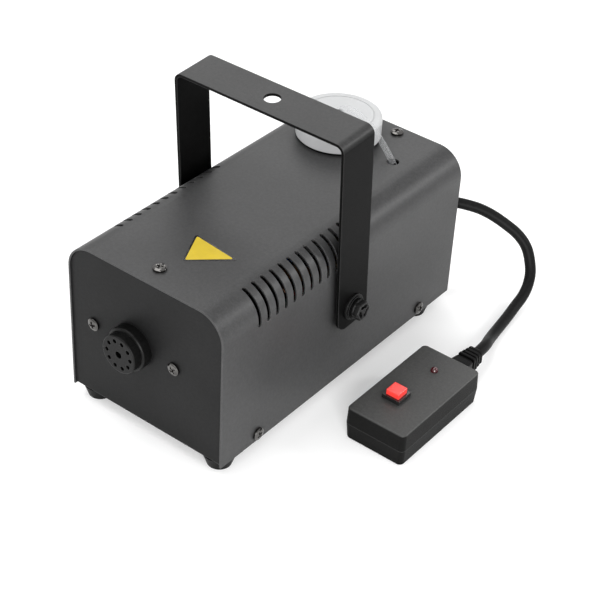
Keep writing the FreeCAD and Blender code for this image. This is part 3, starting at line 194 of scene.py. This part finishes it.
def painted_edge_highlight(material, colour, level):
    """Mix towards a grey level where the surface turns sharply: a painted highlight along edges."""
    radius = 0.8 * MM
    amount = 0.55
    nodes = material.node_tree.nodes
    soft = nodes.new("ShaderNodeBevel")
    soft.samples = 4
    soft.inputs["Radius"].default_value = radius
    geometry = nodes.new("ShaderNodeNewGeometry")
    agree = nodes.new("ShaderNodeVectorMath")
    agree.operation = "DOT_PRODUCT"
    link(material, soft.outputs["Normal"], agree.inputs[0])
    link(material, geometry.outputs["Normal"], agree.inputs[1])
    edge = remap(material, agree.outputs["Value"], amount, 0.0, 0.80, 0.99)
    mix = nodes.new("ShaderNodeMix")
    mix.data_type = "RGBA"
    mix.inputs["B"].default_value = (level, level, level, 1)
    link(material, colour, mix.inputs["A"])
    link(material, edge, mix.inputs["Factor"])
    return mix.outputs["Result"]


def coated(name, dark, light, rough, grain, depth, shine, shade_reach, edge_highlight_grey=0.0, sides=1.0):
    """Powder coat or moulded plastic, with a fine speckled grain, a coarser mottle and faint cloudiness.

    The grain is in cycles per metre and its relief `depth` metres deep. Edges lighten to the grey
    `edge_highlight_grey`: a painted highlight.
    Level faces keep the colour and upright ones take `sides` of it: painted shade, as if lit from above.
    Corners darken over `shade_reach` metres: painted shade in corners, recesses and under parts.
    """
    material, nodes, shader = new_material(name)
    point = object_point(material)
    cloud = noise(material, point, 22)
    speck = noise(material, point, grain, 2)
    colour = two_colours(material, remap(material, cloud, 0, 1), dark, light)
    colour = shaded(material, colour, remap(material, speck, 0.7, 1.3))
    mottle = noise(material, point, 520, 4, 0.65)
    colour = shaded(material, colour, remap(material, mottle, 0.78, 1.22))
    shader.inputs["Specular IOR Level"].default_value = shine
    # Painted shade: upright faces take a darker share of the colour than level ones, as if lit from above;
    # their specular level drops with it.
    if sides < 1:
        geometry = nodes.new("ShaderNodeNewGeometry")
        facing = nodes.new("ShaderNodeSeparateXYZ")
        link(material, geometry.outputs["Normal"], facing.inputs["Vector"])
        share = remap(material, facing.outputs["Z"], sides, 1, 0.1, 0.8)
        colour = shaded(material, colour, share)
        glint = remap(material, share, shine * sides, shine, sides, 1)
        link(material, glint, shader.inputs["Specular IOR Level"])
    # Painted shade: the colour darkens in corners, recesses and under nearby parts, by ambient occlusion.
    corner = nodes.new("ShaderNodeAmbientOcclusion")
    corner.samples = 8
    corner.inputs["Distance"].default_value = shade_reach
    colour = shaded(material, colour, remap(material, corner.outputs["AO"], 0.25, 1, 0.3, 0.95))
    # Painted highlight: sharp edges are lightened towards a grey.
    if edge_highlight_grey:
        colour = painted_edge_highlight(material, colour, edge_highlight_grey)
    link(material, colour, shader.inputs["Base Color"])
    roughen(material, shader, speck, rough - 0.07, rough + 0.07)
    bump(material, shader, speck, 0.55, depth, 0.0004)
    return material


def bare_metal(name, dark, light, rough, stretch=(1, 1, 1), scale=900, depth=0.00001):
    """Metal with a fine tool grain along one way and small stains."""
    material, _, shader = new_material(name)
    grain = noise(material, object_point(material, stretch), scale, 4)
    stain = noise(material, object_point(material), 120)
    paint(material, shader, stain, dark, light)
    shader.inputs["Metallic"].default_value = 1
    roughen(material, shader, grain, rough - 0.08, rough + 0.1)
    bump(material, shader, grain, 0.35, depth, 0.0002)
    return material


def gloss(name, dark, light, rough=0.22, coat=0.4):
    """Smooth moulded plastic with faint flow marks."""
    material, _, shader = new_material(name)
    point = object_point(material)
    paint(material, shader, noise(material, point, 160), dark, light)
    roughen(material, shader, noise(material, point, 700), rough - 0.05, rough + 0.06)
    shader.inputs["Coat Weight"].default_value = coat
    shader.inputs["Coat Roughness"].default_value = 0.15
    bump(material, shader, noise(material, point, 420), 0.25, 0.00002, 0.0003)
    return material


def translucent(name, tint, rough, transmission, milk):
    """Clear or milky polymer, with faint waviness from moulding."""
    material, _, shader = new_material(name)
    point = object_point(material)
    wave = noise(material, point, 90)
    pale = [min(1, part * 1.04) for part in tint]
    paint(material, shader, wave, tint, pale)
    roughen(material, shader, noise(material, point, 600), rough - 0.03, rough + 0.05)
    shader.inputs["Transmission Weight"].default_value = transmission
    shader.inputs["Subsurface Weight"].default_value = milk
    shader.inputs["Subsurface Radius"].default_value = (1, 1, 1)
    shader.inputs["Subsurface Scale"].default_value = 0.004
    shader.inputs["IOR"].default_value = 1.5
    bump(material, shader, wave, 0.3, 0.00005)
    return material


def clear_film(name, tint, middle, edge):
    """Thin clear polymer: see-through face on, and denser towards its outline."""
    material, nodes, shader = new_material(name)
    point = object_point(material)
    flow = noise(material, point, 120)
    pale = [min(1, part * 1.1) for part in tint]
    paint(material, shader, flow, tint, pale)
    roughen(material, shader, flow, 0.08, 0.16)
    outline = nodes.new("ShaderNodeLayerWeight")
    outline.inputs["Blend"].default_value = 0.45
    density = remap(material, outline.outputs["Facing"], middle, edge, 0.35, 0.95)
    link(material, density, shader.inputs["Alpha"])
    return material


def woven_fibre(name, dark, light):
    """Matted fibre."""
    material, _, shader = new_material(name)
    tangle = noise(material, object_point(material, (1, 0.25, 1)), 900, 6, 0.7)
    paint(material, shader, tangle, dark, light)
    shader.inputs["Roughness"].default_value = 0.95
    shader.inputs["Sheen Weight"].default_value = 0.3
    bump(material, shader, tangle, 0.9, 0.0004)
    return material


def circuit(name):
    """Green solder resist with faint copper tracks."""
    material, nodes, shader = new_material(name)
    point = object_point(material)
    tracks = nodes.new("ShaderNodeTexBrick")
    tracks.inputs["Scale"].default_value = 90
    tracks.inputs["Mortar Size"].default_value = 0.03
    tracks.inputs["Color1"].default_value = (0.012, 0.13, 0.05, 1)
    tracks.inputs["Color2"].default_value = (0.016, 0.16, 0.06, 1)
    tracks.inputs["Mortar"].default_value = (0.03, 0.24, 0.09, 1)
    link(material, point, tracks.inputs["Vector"])
    link(material, tracks.outputs["Color"], shader.inputs["Base Color"])
    roughen(material, shader, noise(material, point, 500), 0.25, 0.4)
    bump(material, shader, tracks.outputs["Fac"], 0.3, 0.00005, 0.0003)
    return material


def winding(name, dark, light):
    """Turns of wire or tape wound round a vertical axis."""
    material, nodes, shader = new_material(name)
    bands = nodes.new("ShaderNodeTexWave")
    bands.wave_type = "BANDS"
    bands.bands_direction = "Z"
    bands.inputs["Scale"].default_value = 260
    bands.inputs["Distortion"].default_value = 0.6
    link(material, object_point(material), bands.inputs["Vector"])
    link(material, two_colours(material, bands.outputs["Fac"], dark, light), shader.inputs["Base Color"])
    shader.inputs["Roughness"].default_value = 0.35
    shader.inputs["Metallic"].default_value = 0.6
    bump(material, shader, bands.outputs["Fac"], 0.6, 0.0002)
    return material


def pale_floor():
    """A matt floor that stays close to white."""
    material, _, shader = new_material("pale_floor")
    cloud = noise(material, object_point(material), 3)
    colour = two_colours(material, cloud, (0.8, 0.8, 0.8), (0.84, 0.84, 0.84))
    link(material, colour, shader.inputs["Base Color"])
    shader.inputs["Roughness"].default_value = 0.9
    shader.inputs["Emission Color"].default_value = (1, 1, 1, 1)
    shader.inputs["Emission Strength"].default_value = 0.22
    return material


# The finish of each of the record's material slots, and the variants named below.
LOOKS = {
    "black_coat": coated(
        "black_coat", (0.028, 0.028, 0.0285), (0.034, 0.034, 0.0345),
        rough=0.44, grain=1900, depth=0.00007, edge_highlight_grey=0.08, shine=0.38, sides=0.95, shade_reach=0.015,
    ),
    # Painted shade: a darker copy of black_coat for the chassis, whose front panel stands in shade, with a
    # wide darkening round the nozzle and in the recess.
    "shaded_panel_coat": coated(
        "shaded_panel_coat", (0.007, 0.007, 0.0072), (0.0095, 0.0095, 0.0097),
        rough=0.5, grain=1900, depth=0.00006, edge_highlight_grey=0.05, shine=0.12, shade_reach=0.04,
    ),
    # A darker coat for the bracket; its upright faces are darkened much further by painted shade.
    "shaded_bracket_coat": coated(
        "shaded_bracket_coat", (0.022, 0.022, 0.022), (0.028, 0.028, 0.028),
        rough=0.42, grain=1900, depth=0.00005, edge_highlight_grey=0.07, shine=0.3, sides=0.12, shade_reach=0.012,
    ),
    "black_metal": coated(
        "black_metal", (0.003, 0.003, 0.003), (0.005, 0.005, 0.005),
        rough=0.38, grain=1200, depth=0.00003, edge_highlight_grey=0.05, shine=0.14, shade_reach=0.012,
    ),
    # The remote's upright faces are darkened hard: painted shade.
    "black_plastic": coated(
        "black_plastic", (0.032, 0.032, 0.031), (0.042, 0.042, 0.041),
        rough=0.42, grain=2400, depth=0.00012, edge_highlight_grey=0.06, shine=0.45, sides=0.12, shade_reach=0.008,
    ),
    "knob_plastic": coated(
        "knob_plastic", (0.004, 0.004, 0.004), (0.007, 0.007, 0.007),
        rough=0.36, grain=2600, depth=0.00003, edge_highlight_grey=0.05, shine=0.25, shade_reach=0.006,
    ),
    "black_rubber": coated(
        "black_rubber", (0.006, 0.006, 0.006), (0.009, 0.009, 0.009),
        rough=0.45, grain=1500, depth=0.00004, shine=0.07, shade_reach=0.01,
    ),
    "gloss_black": gloss("gloss_black", (0.006, 0.006, 0.006), (0.012, 0.012, 0.012)),
    # Nickel darkened far below bare metal: painted shade standing in for the dark reflections in the screw
    # heads.
    "nickel": bare_metal("nickel", (0.08, 0.078, 0.075), (0.16, 0.155, 0.15), rough=0.14, scale=500),
    "zinc_steel": bare_metal(
        "zinc_steel", (0.5, 0.51, 0.52), (0.64, 0.65, 0.66),
        rough=0.32, stretch=(1, 0.08, 1),
    ),
    "bare_steel": bare_metal(
        "bare_steel", (0.42, 0.42, 0.42), (0.56, 0.56, 0.56),
        rough=0.3, stretch=(1, 1, 0.1),
    ),
    "cast_aluminium": bare_metal(
        "cast_aluminium", (0.58, 0.58, 0.59), (0.7, 0.7, 0.71),
        rough=0.45, scale=400, depth=0.0001,
    ),
    "brass": bare_metal("brass", (0.6, 0.42, 0.17), (0.75, 0.56, 0.26), rough=0.28, stretch=(1, 1, 0.1)),
    "copper": bare_metal("copper", (0.6, 0.3, 0.18), (0.76, 0.42, 0.27), rough=0.25),
    "clear_white": translucent("clear_white", (0.5, 0.505, 0.51), rough=0.4, transmission=0.1, milk=0.25),
    "clear_tube": clear_film("clear_tube", (0.6, 0.61, 0.62), middle=0.04, edge=0.85),
    "fuse_glass": translucent("fuse_glass", (0.9, 0.92, 0.92), rough=0.05, transmission=0.95, milk=0.0),
    "sticker_yellow": gloss("sticker_yellow", (0.5, 0.36, 0.003), (0.55, 0.4, 0.005), rough=0.45, coat=0.0),
    "glass_wool": woven_fibre("glass_wool", (0.62, 0.6, 0.5), (0.85, 0.83, 0.74)),
    "circuit_green": circuit("circuit_green"),
    "blue_plastic": gloss("blue_plastic", (0.02, 0.07, 0.3), (0.03, 0.1, 0.38)),
    "green_plastic": gloss("green_plastic", (0.02, 0.16, 0.06), (0.03, 0.22, 0.08), rough=0.4),
    "copper_coil": winding("copper_coil", (0.2, 0.07, 0.02), (0.5, 0.22, 0.09)),
    "red_wire": gloss("red_wire", (0.3, 0.01, 0.01), (0.4, 0.02, 0.015)),
    "red_button": gloss("red_button", (0.84, 0.035, 0.028), (0.9, 0.05, 0.04), rough=0.34, coat=0.5),
    "dark_red_lens": gloss(
        "dark_red_lens", (0.035, 0.002, 0.004), (0.06, 0.003, 0.006),
        rough=0.12, coat=0.8,
    ),
}


def dress(piece, look):
    """Give a piece one material."""
    piece.data.materials.clear()
    piece.data.materials.append(LOOKS[look])


# Variants of a slot's finish: darker copies that paint shade onto nodes which look darker than the rest of
# their slot.
VARIANTS = {"chassis": "shaded_panel_coat", "bracket": "shaded_bracket_coat"}


def dress_cad():
    """Every CAD node takes the finish its record slot names, and shades smoothly round its bends."""
    slots = {part["node"]: part["material_slot"] for part in frame["record"]["subparts"]}
    for node, piece in frame["nodes"].items():
        dress(piece, VARIANTS.get(node, slots[node]))
        smooth(piece)


# ---- mesh helpers ----


def smooth(piece, angle=32):
    """Smooth shading that stays crisp where faces meet sharply."""
    for face in piece.data.polygons:
        face.use_smooth = True
    piece.data.set_sharp_from_angle(angle=math.radians(angle))


def in_scene(name, data):
    """A new object in the scene."""
    made = bpy.data.objects.new(name, data)
    bpy.context.scene.collection.objects.link(made)
    return made


def add_piece(name, mesh, look, body, *nodes):
    """Put a finished mesh in the scene, on its body if it has one, standing for the CAD nodes named."""
    piece = in_scene(name, mesh)
    dress(piece, look)
    smooth(piece)
    if body:
        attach(piece, body)
    if nodes:
        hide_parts(*nodes)
    return piece


def to_mesh(name, bm):
    """A mesh from a bmesh, with its faces turned outwards."""
    bmesh.ops.recalc_face_normals(bm, faces=bm.faces)
    mesh = bpy.data.meshes.new(name)
    bm.to_mesh(mesh)
    bm.free()
    return mesh


def turned(along, spin=0.0):
    """A rotation whose local Z points along a direction, spun about it."""
    return Vector(along).to_track_quat("Z", "Y").to_matrix().to_4x4() @ Matrix.Rotation(spin, 4, "Z")


def turn_angles(steps):
    """Evenly spaced angles round one turn."""
    return [2 * math.pi * n / steps for n in range(steps)]


def circle(radius, height, steps):
    """Points of a circle about the local Z axis."""
    return [Vector((radius * math.cos(a), radius * math.sin(a), height)) for a in turn_angles(steps)]


def ring_of(bm, points):
    """New vertices at the points."""
    return [bm.verts.new(point) for point in points]


def bridge(bm, first, second):
    """Quads between two closed rings of the same length."""
    count = len(first)
    for n in range(count):
        bm.faces.new((first[n], first[(n + 1) % count], second[(n + 1) % count], second[n]))


def skin(bm, rings):
    """Quads over a row of rings."""
    for first, second in zip(rings, rings[1:]):
        bridge(bm, first, second)


# ---- shapes ----


def rounded_ring(half_x, half_y, corner, height, shift_y, steps=6):
    """Points of a rounded rectangle at one height, anticlockwise."""
    points = []
    for quarter, (side_x, side_y) in enumerate(((1, 1), (-1, 1), (-1, -1), (1, -1))):
        centre_x = side_x * (half_x - corner)
        centre_y = shift_y + side_y * (half_y - corner)
        for n in range(steps + 1):
            angle = math.pi / 2 * (quarter + n / steps)
            points.append(Vector((
                centre_x + corner * math.cos(angle),
                centre_y + corner * math.sin(angle),
                height,
            )))
    return points


def loft(bm, place, outlines):
    """A closed skin over outlines of points, with a face on each end."""
    rings = [ring_of(bm, [place @ point for point in outline]) for outline in outlines]
    skin(bm, rings)
    bm.faces.new(rings[0])
    bm.faces.new(rings[-1])


def relief(bm, place, radius, count, steps, height, edge=None):
    """A round face with relief: a polar grid whose height comes from (reach, angle).

    Its edge may be lobed. It returns the outermost ring.
    """
    tip = bm.verts.new(place @ Vector((0, 0, height(0, 0))))
    rings = []
    for k in range(count):
        grid_radius = radius * (k + 1) / count
        points = []
        for angle in turn_angles(steps):
            reach = grid_radius * (edge(angle) if edge else 1)
            level = height(grid_radius, angle)
            points.append(place @ Vector((reach * math.cos(angle), reach * math.sin(angle), level)))
        rings.append(ring_of(bm, points))
    for n in range(steps):
        bm.faces.new((tip, rings[0][n], rings[0][(n + 1) % steps]))
    skin(bm, rings)
    return rings[-1]


def ramp(value, low, high):
    """0 below low, 1 above high, a smooth rise between."""
    share = min(max((value - low) / (high - low), 0), 1)
    return share * share * (3 - 2 * share)


def pan_screw(bm, place, head_radius, head_depth, shank_length):
    """Cross-recess pan head on a short shank; local Z points out of the head. Sizes in millimetres."""
    radius = head_radius * MM
    depth = head_depth * MM
    rows = 22
    dome_drop = 0.42
    slot_depth = 0.62 * depth
    slot_side = (0.09 * radius, 0.16 * radius)
    slot_end = (0.42 * radius, 0.62 * radius)

    def height(reach, angle):
        dome = depth * (1 - dome_drop * (reach / radius) ** 3)
        across = min(abs(math.cos(angle)), abs(math.sin(angle))) * reach
        along = max(abs(math.cos(angle)), abs(math.sin(angle))) * reach
        slot = (1 - ramp(across, *slot_side)) * (1 - ramp(along, *slot_end))
        return dome - slot_depth * slot

    rings = [relief(bm, place, radius, rows, SCREW_STEPS, height)]
    shank = SHANK_RADIUS * MM
    profile = [(radius, 0.2 * depth), (0.96 * radius, 0), (shank, 0), (shank, -shank_length * MM)]
    for reach, level in profile:
        rings.append(ring_of(bm, [place @ point for point in circle(reach, level, SCREW_STEPS)]))
    skin(bm, rings)
    bm.faces.new(rings[-1])


def sweep(bm, points, steps, *radii):
    """A round bar along a line of points; with a second, inner radius it is a tube, open at both ends."""
    tangents = []
    for n in range(len(points)):
        tangents.append((points[min(n + 1, len(points) - 1)] - points[max(n - 1, 0)]).normalized())
    side = tangents[0].orthogonal().normalized()
    rings = [[] for _ in radii]
    for point, tangent in zip(points, tangents):
        side = (side - tangent * side.dot(tangent)).normalized()
        other = tangent.cross(side)
        for row, reach in zip(rings, radii):
            spokes = [side * math.cos(a) + other * math.sin(a) for a in turn_angles(steps)]
            row.append(ring_of(bm, [point + spoke * reach for spoke in spokes]))
    for row in rings:
        skin(bm, row)
    for end in (0, -1):
        if len(rings) == 1:
            bm.faces.new(rings[0][end])
        else:
            bridge(bm, rings[0][end], rings[1][end])


def through(points, steps):
    """A smooth curve through points, with so many short straight pieces between each two."""
    line = []
    padded = [2 * points[0] - points[1], *points, 2 * points[-1] - points[-2]]
    for n in range(1, len(padded) - 2):
        before, start, end, after = padded[n - 1:n + 3]
        for k in range(steps):
            t = k / steps
            line.append(0.5 * (
                2 * start
                + (end - before) * t
                + (2 * before - 5 * start + 4 * end - after) * t**2
                + (3 * start - before - 3 * end + after) * t**3
            ))
    line.append(points[-1])
    return line


# ---- pieces ----


def case_screws():
    """Eight pan-head screws: two on top, two on each side, two beside the nozzle."""
    side_level = 5.5
    front_y = -87.5
    rear_y = 85.5
    seats = [
        ((0, -108, COVER_TOP), "z", 1, 0.4),
        ((13, 114.5, COVER_TOP), "z", 1, 0.1),
        ((COVER_SIDE, front_y, side_level), "x", 1, 0.5),
        ((COVER_SIDE, rear_y, side_level), "x", 1, 0.2),
        ((-COVER_SIDE, front_y, side_level), "x", -1, 0.3),
        ((-COVER_SIDE, rear_y, side_level), "x", -1, 0.9),
        ((-42.5, PANEL_FACE, PIVOT_LEVEL), "y", -1, 0.3),
        ((23.5, PANEL_FACE, PIVOT_LEVEL), "y", -1, 0.7),
    ]
    bm = bmesh.new()
    for seat, axis, sign, spin in seats:
        place = Matrix.Translation(Vector(seat) * MM) @ turned(AXES[axis] * sign, spin)
        pan_screw(bm, place, head_radius=4.3, head_depth=2.4, shank_length=7)
    add_piece("case_screws_cross_recess", to_mesh("case_screws", bm), "nickel", HOUSING, "case_screws")


def downward_screws(node, body, seats, head_radius, head_depth, shank_length):
    """A set of screws that point up into the part, their heads below."""
    bm = bmesh.new()
    for n, seat in enumerate(seats):
        place = Matrix.Translation(Vector(seat) * MM) @ turned(-AXES["z"], 0.7 * n)
        pan_screw(bm, place, head_radius, head_depth, shank_length)
    name = f"{node}_cross_recess"
    add_piece(name, to_mesh(name, bm), "zinc_steel", body, node)


def foot_screws():
    """One screw up through each rubber foot."""
    head_level = -2.8
    seats = [(x, y, head_level) for x in (-50.5, 50.5) for y in (-110, 98)]
    downward_screws("foot_screws", HOUSING, seats, head_radius=4.3, head_depth=2, shank_length=4.2)


def remote_screws():
    """Four screws that hold the remote's half shells together, from below."""
    head_level = -7
    seats = [(REMOTE_X + x, REMOTE_Y + y, head_level) for x in (-9, 9) for y in (-30, 30)]
    downward_screws("remote_screws", REMOTE, seats, head_radius=2.8, head_depth=1.4, shank_length=6)


def knob(side, sign):
    """Moulded clamp knob: six soft lobes, and an end face with a hub, three spokes and hollow sectors."""
    base = 68.75
    radius = 6.8 * MM
    length = 6 * MM
    hub = 2.2 * MM
    rim = 5.1 * MM
    spoke = 0.55 * MM
    hollow = 2 * MM
    soft = 0.7 * MM
    blend = 0.3 * MM
    first_spoke = 0.4
    rows = 46
    steps = 144
    # (height, share of the radius) of the rings under the end face; None follows the lobes.
    sides = ((2.6, None), (2.0, None), (1.9, 1), (0.4, 1), (0.0, 0.97))

    def lobes(angle):
        return 0.94 + 0.06 * math.cos(6 * angle)

    def height(reach, angle):
        gaps = []
        for k in range(3):
            turn = angle - first_spoke - k * 2 * math.pi / 3
            gaps.append(abs(reach * math.sin(turn)) if math.cos(turn) > 0 else reach)
        open_part = ramp(reach, hub, hub + blend) * (1 - ramp(reach, rim - blend, rim))
        open_part *= ramp(min(gaps), spoke, spoke + blend)
        over = max(reach - (radius - soft), 0) / soft
        return length - hollow * open_part - soft * (1 - math.sqrt(max(1 - over * over, 0)))

    place = Matrix.Translation(Vector((sign * base, 0, PIVOT_LEVEL)) * MM) @ turned(AXES["x"] * sign)
    bm = bmesh.new()
    rings = [relief(bm, place, radius, rows, steps, height, lobes)]
    for level, share in sides:
        points = []
        for angle in turn_angles(steps):
            reach = radius * (share or lobes(angle))
            points.append(place @ Vector((reach * math.cos(angle), reach * math.sin(angle), level * MM)))
        rings.append(ring_of(bm, points))
    skin(bm, rings)
    bm.faces.new(rings[-1])
    name = f"knob_{side}_spoked"
    piece = add_piece(name, to_mesh(name, bm), "black_plastic", f"{side}_knob", f"knob_{side}")
    dress(piece, "knob_plastic")


def tank_lid():
    """Push-on lid: rounded rim, a shallow moulded ring on top and a raised seat for the tube."""
    top = 127.5
    roof = 125
    skirt = 113.1
    inner = 25.7
    outer = 28.9
    soft = 2
    bore = 2.05
    seat = 3.6
    seat_top = 129.4
    steps = 128
    profile = [(inner, skirt), (inner, roof), (bore, roof), (bore, seat_top)]
    profile += [(seat - 0.3, seat_top), (seat, seat_top - 0.3), (seat, top)]
    profile += [(22.6, top), (22.9, top - 0.5), (23.5, top - 0.5), (23.8, top)]
    for n in range(7):
        angle = math.pi / 2 * n / 6
        profile.append((outer - soft + soft * math.sin(angle), top - soft + soft * math.cos(angle)))
    profile += [(outer, skirt + 0.4), (outer - 0.4, skirt)]
    centre = Matrix.Translation(Vector((LID_X, LID_Y, 0)) * MM)
    bm = bmesh.new()
    rings = []
    for reach, level in profile:
        rings.append(ring_of(bm, [centre @ point for point in circle(reach * MM, level * MM, steps)]))
    rings.append(rings[0])
    skin(bm, rings)
    add_piece("tank_lid_moulded", to_mesh("tank_lid", bm), "clear_white", TANK_CAP, "tank_lid")


def suction_tube():
    """Hollow clear tube from the lid, over its edge and down through the cover."""
    spots = [(LID_X, LID_Y, 129.5), (-15.8, LID_Y, 130.3), (-11.8, 86.6, 132.9), (-4, 86, 134.9)]
    spots += [(9, 85, 131), (20.1, 84, 123.6), (30.7, 83.1, 113), (32.5, 83, 110.8)]
    outer = 2 * MM
    inner = 1.25 * MM
    line = through([Vector(spot) * MM for spot in spots], 10)
    bm = bmesh.new()
    sweep(bm, line, 32, outer, inner)
    name = "suction_tube_hollow"
    piece = add_piece(name, to_mesh(name, bm), "clear_tube", None, "suction_tube")
    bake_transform(piece)


def rounded_triangle(corners, radius, height, steps=5):
    """Points of a triangle's outline with rounded corners at one height."""
    points = []
    for k in range(3):
        corner = Vector(corners[k])
        before = (Vector(corners[k - 1]) - corner).normalized()
        after = (Vector(corners[(k + 1) % 3]) - corner).normalized()
        half_angle = before.angle(after) / 2
        centre = corner + (before + after).normalized() * (radius / math.sin(half_angle))
        start = (corner + before * (radius / math.tan(half_angle)) - centre).normalized()
        end = (corner + after * (radius / math.tan(half_angle)) - centre).normalized()
        for n in range(steps + 1):
            spoke = start.slerp(end, n / steps) * radius
            points.append(Vector((centre.x + spoke.x, centre.y + spoke.y, height)) * MM)
    return points


def sticker():
    """Plain warning triangle: yellow on a black border, with nothing on it."""
    border = ((-7.9, -66.7), (4.5, -93), (29.5, -70.4))
    border_corner = 1.2
    border_levels = (COVER_TOP, COVER_TOP + 0.12)
    face = ((-6, -67.8), (4.9, -91.2), (26.2, -71.2))
    face_corner = 0.8
    face_levels = (COVER_TOP + 0.1, COVER_TOP + 0.2)
    unturned = Matrix.Identity(4)
    bm = bmesh.new()
    loft(bm, unturned, [rounded_triangle(border, border_corner, level) for level in border_levels])
    add_piece("sticker_border", to_mesh("sticker_border", bm), "gloss_black", HOUSING, "warning_sticker")
    bm = bmesh.new()
    loft(bm, unturned, [rounded_triangle(face, face_corner, level) for level in face_levels])
    add_piece("sticker_face", to_mesh("sticker_face", bm), "sticker_yellow", HOUSING)


def strain_relief():
    """Wedge-shaped cable entry and a boot with four square ribs, lofted along the cable."""
    cable_x = 121
    cable_z = 6
    first_rib = 56.2
    rib_pitch = 3.4
    rib_half = 6.4
    rib_taper = 0.35
    neck = 4.7
    # Local X is -X, local Y is up and local Z runs along the cable.
    place = Matrix((
        (-1, 0, 0, cable_x * MM),
        (0, 0, 1, 0),
        (0, 1, 0, cable_z * MM),
        (0, 0, 0, 1),
    ))
    # Each section is (distance along, half width, half height, corner radius, rise), in millimetres.
    sections = [(40.1, 6.6, 4.1, 1.2, 1.55), (40.5, 7, 4.45, 1.2, 1.55), (47, 7, 4.45, 1.2, 1.55)]
    sections += [(54.4, 6.3, 4.3, 1.2, 0.9), (54.9, 5.9, 4.2, 1.2, 0.6)]
    for n in range(4):
        low = first_rib + rib_pitch * n
        half = rib_half - rib_taper * n
        sections += [(low - 0.1, neck, neck, 1.6, 0), (low, half - 0.3, half - 0.5, 1.6, 0)]
        sections += [(low + 0.3, half, half - 0.2, 1.8, 0), (low + 1.7, half, half - 0.2, 1.8, 0)]
        sections += [(low + 2, half - 0.3, half - 0.5, 1.6, 0), (low + 2.1, neck, neck, 1.6, 0)]
    sections += [(69, 4.6, 4.6, 3.6, 0), (69.5, 4.2, 4.2, 3.6, 0)]
    bm = bmesh.new()
    outlines = []
    for along, half_x, half_z, corner, rise in sections:
        outlines.append(rounded_ring(half_x * MM, half_z * MM, corner * MM, along * MM, rise * MM))
    loft(bm, place, outlines)
    add_piece("strain_relief_ribbed", to_mesh("strain_relief", bm), "black_rubber", REMOTE, "strain_relief")


def pump_spring():
    """Return spring under the plunger, wound from round wire."""
    low_corner, high_corner = (Vector(corner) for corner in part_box("pump_spring"))
    centre = (low_corner + high_corner) / 2
    low = low_corner.z
    wire = 0.45 * MM
    coil_radius = 4 * MM
    turns = 8
    steps = 24
    count = turns * steps
    rise = high_corner.z - low - 2 * wire
    points = []
    for n in range(count + 1):
        angle = 2 * math.pi * n / steps
        points.append(Vector((
            centre.x + coil_radius * math.cos(angle),
            centre.y + coil_radius * math.sin(angle),
            low + wire + rise * n / count,
        )))
    bm = bmesh.new()
    sweep(bm, points, 10, wire)
    mesh = to_mesh("pump_spring", bm)
    spring = add_piece("pump_spring_wound", mesh, "zinc_steel", HOUSING, "pump_spring")
    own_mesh(spring)


case_screws()
foot_screws()
remote_screws()
knob("right", 1)
knob("left", -1)
tank_lid()
suction_tube()
sticker()
strain_relief()
pump_spring()
dress_cad()


# ---- scene ----

# The camera's azimuth, elevation and roll in degrees; a point in the machine; how far the camera stands
# left of, above and back from that point, along its own axes; and its focal length in millimetres.
CAMERA_ANGLES = (36.43, 36.75, 3.24)
CAMERA_TARGET = (0, -0.0025, 0.06)
CAMERA_OFFSET = (-0.0197, -0.0239, 1.0639)
CAMERA_LENS = 98.1


def camera():
    """The camera looks down at the machine from its front right."""
    data = bpy.data.cameras.new("camera")
    eye = in_scene("camera", data)
    bpy.context.scene.camera = eye
    azimuth, elevation, roll = (math.radians(angle) for angle in CAMERA_ANGLES)
    back = Vector((
        math.sin(azimuth) * math.cos(elevation),
        -math.cos(azimuth) * math.cos(elevation),
        math.sin(elevation),
    ))
    level = (-back).cross(AXES["z"]).normalized()
    rise = level.cross(-back)
    right = level * math.cos(roll) + rise * math.sin(roll)
    up = rise * math.cos(roll) - level * math.sin(roll)
    turn = Matrix((right, up, back)).transposed().to_4x4()
    aside, above, away = CAMERA_OFFSET
    target = Vector(CAMERA_TARGET)
    spot = target - right * aside + up * above + back * away
    eye.matrix_world = Matrix.Translation(spot) @ turn
    data.lens = CAMERA_LENS
    data.sensor_width = 36
    data.clip_start = 0.01


def floor():
    """A wide plain floor under the feet."""
    half = 6
    low = Vector(CAD_BOX[0]).z
    corners = [(x * half, y * half, low) for x, y in ((-1, -1), (1, -1), (1, 1), (-1, 1))]
    bm = bmesh.new()
    bm.faces.new(ring_of(bm, corners))
    plane = in_scene("floor", to_mesh("floor", bm))
    plane.data.materials.append(pale_floor())


def area_light(name, spot, size, power):
    """A rectangular light that faces the middle of the machine."""
    aim = (0, 0, 0.06)
    data = bpy.data.lights.new(name, "AREA")
    data.shape = "RECTANGLE"
    data.size, data.size_y = size
    data.energy = power
    lamp = in_scene(name, data)
    lamp.location = spot
    lamp.rotation_mode = "QUATERNION"
    lamp.rotation_quaternion = (Vector(aim) - Vector(spot)).to_track_quat("-Z", "Y")


def studio():
    """White surroundings and five soft lights; one of them glints along the cover's right bend."""
    world = bpy.data.worlds.new("studio")
    world.use_nodes = True
    backdrop = world.node_tree.nodes["Background"]
    backdrop.inputs["Color"].default_value = (1, 1, 1, 1)
    backdrop.inputs["Strength"].default_value = 0.75
    bpy.context.scene.world = world
    area_light("key", (-0.5, -0.2, 1.5), (1.2, 1.2), 12)
    area_light("side", (1.1, -1.15, 0.5), (0.8, 0.8), 26)
    area_light("front", (0.2, -1.8, 0.7), (1.2, 0.8), 2)
    area_light("bend glint", (0.96, 1.03, 0.76), (0.16, 0.3), 5.5)
    area_light("top sheen", (-0.76, 1.03, 1.02), (0.9, 0.9), 4)
    bpy.context.scene.view_settings.view_transform = "Standard"


camera()
floor()
studio()
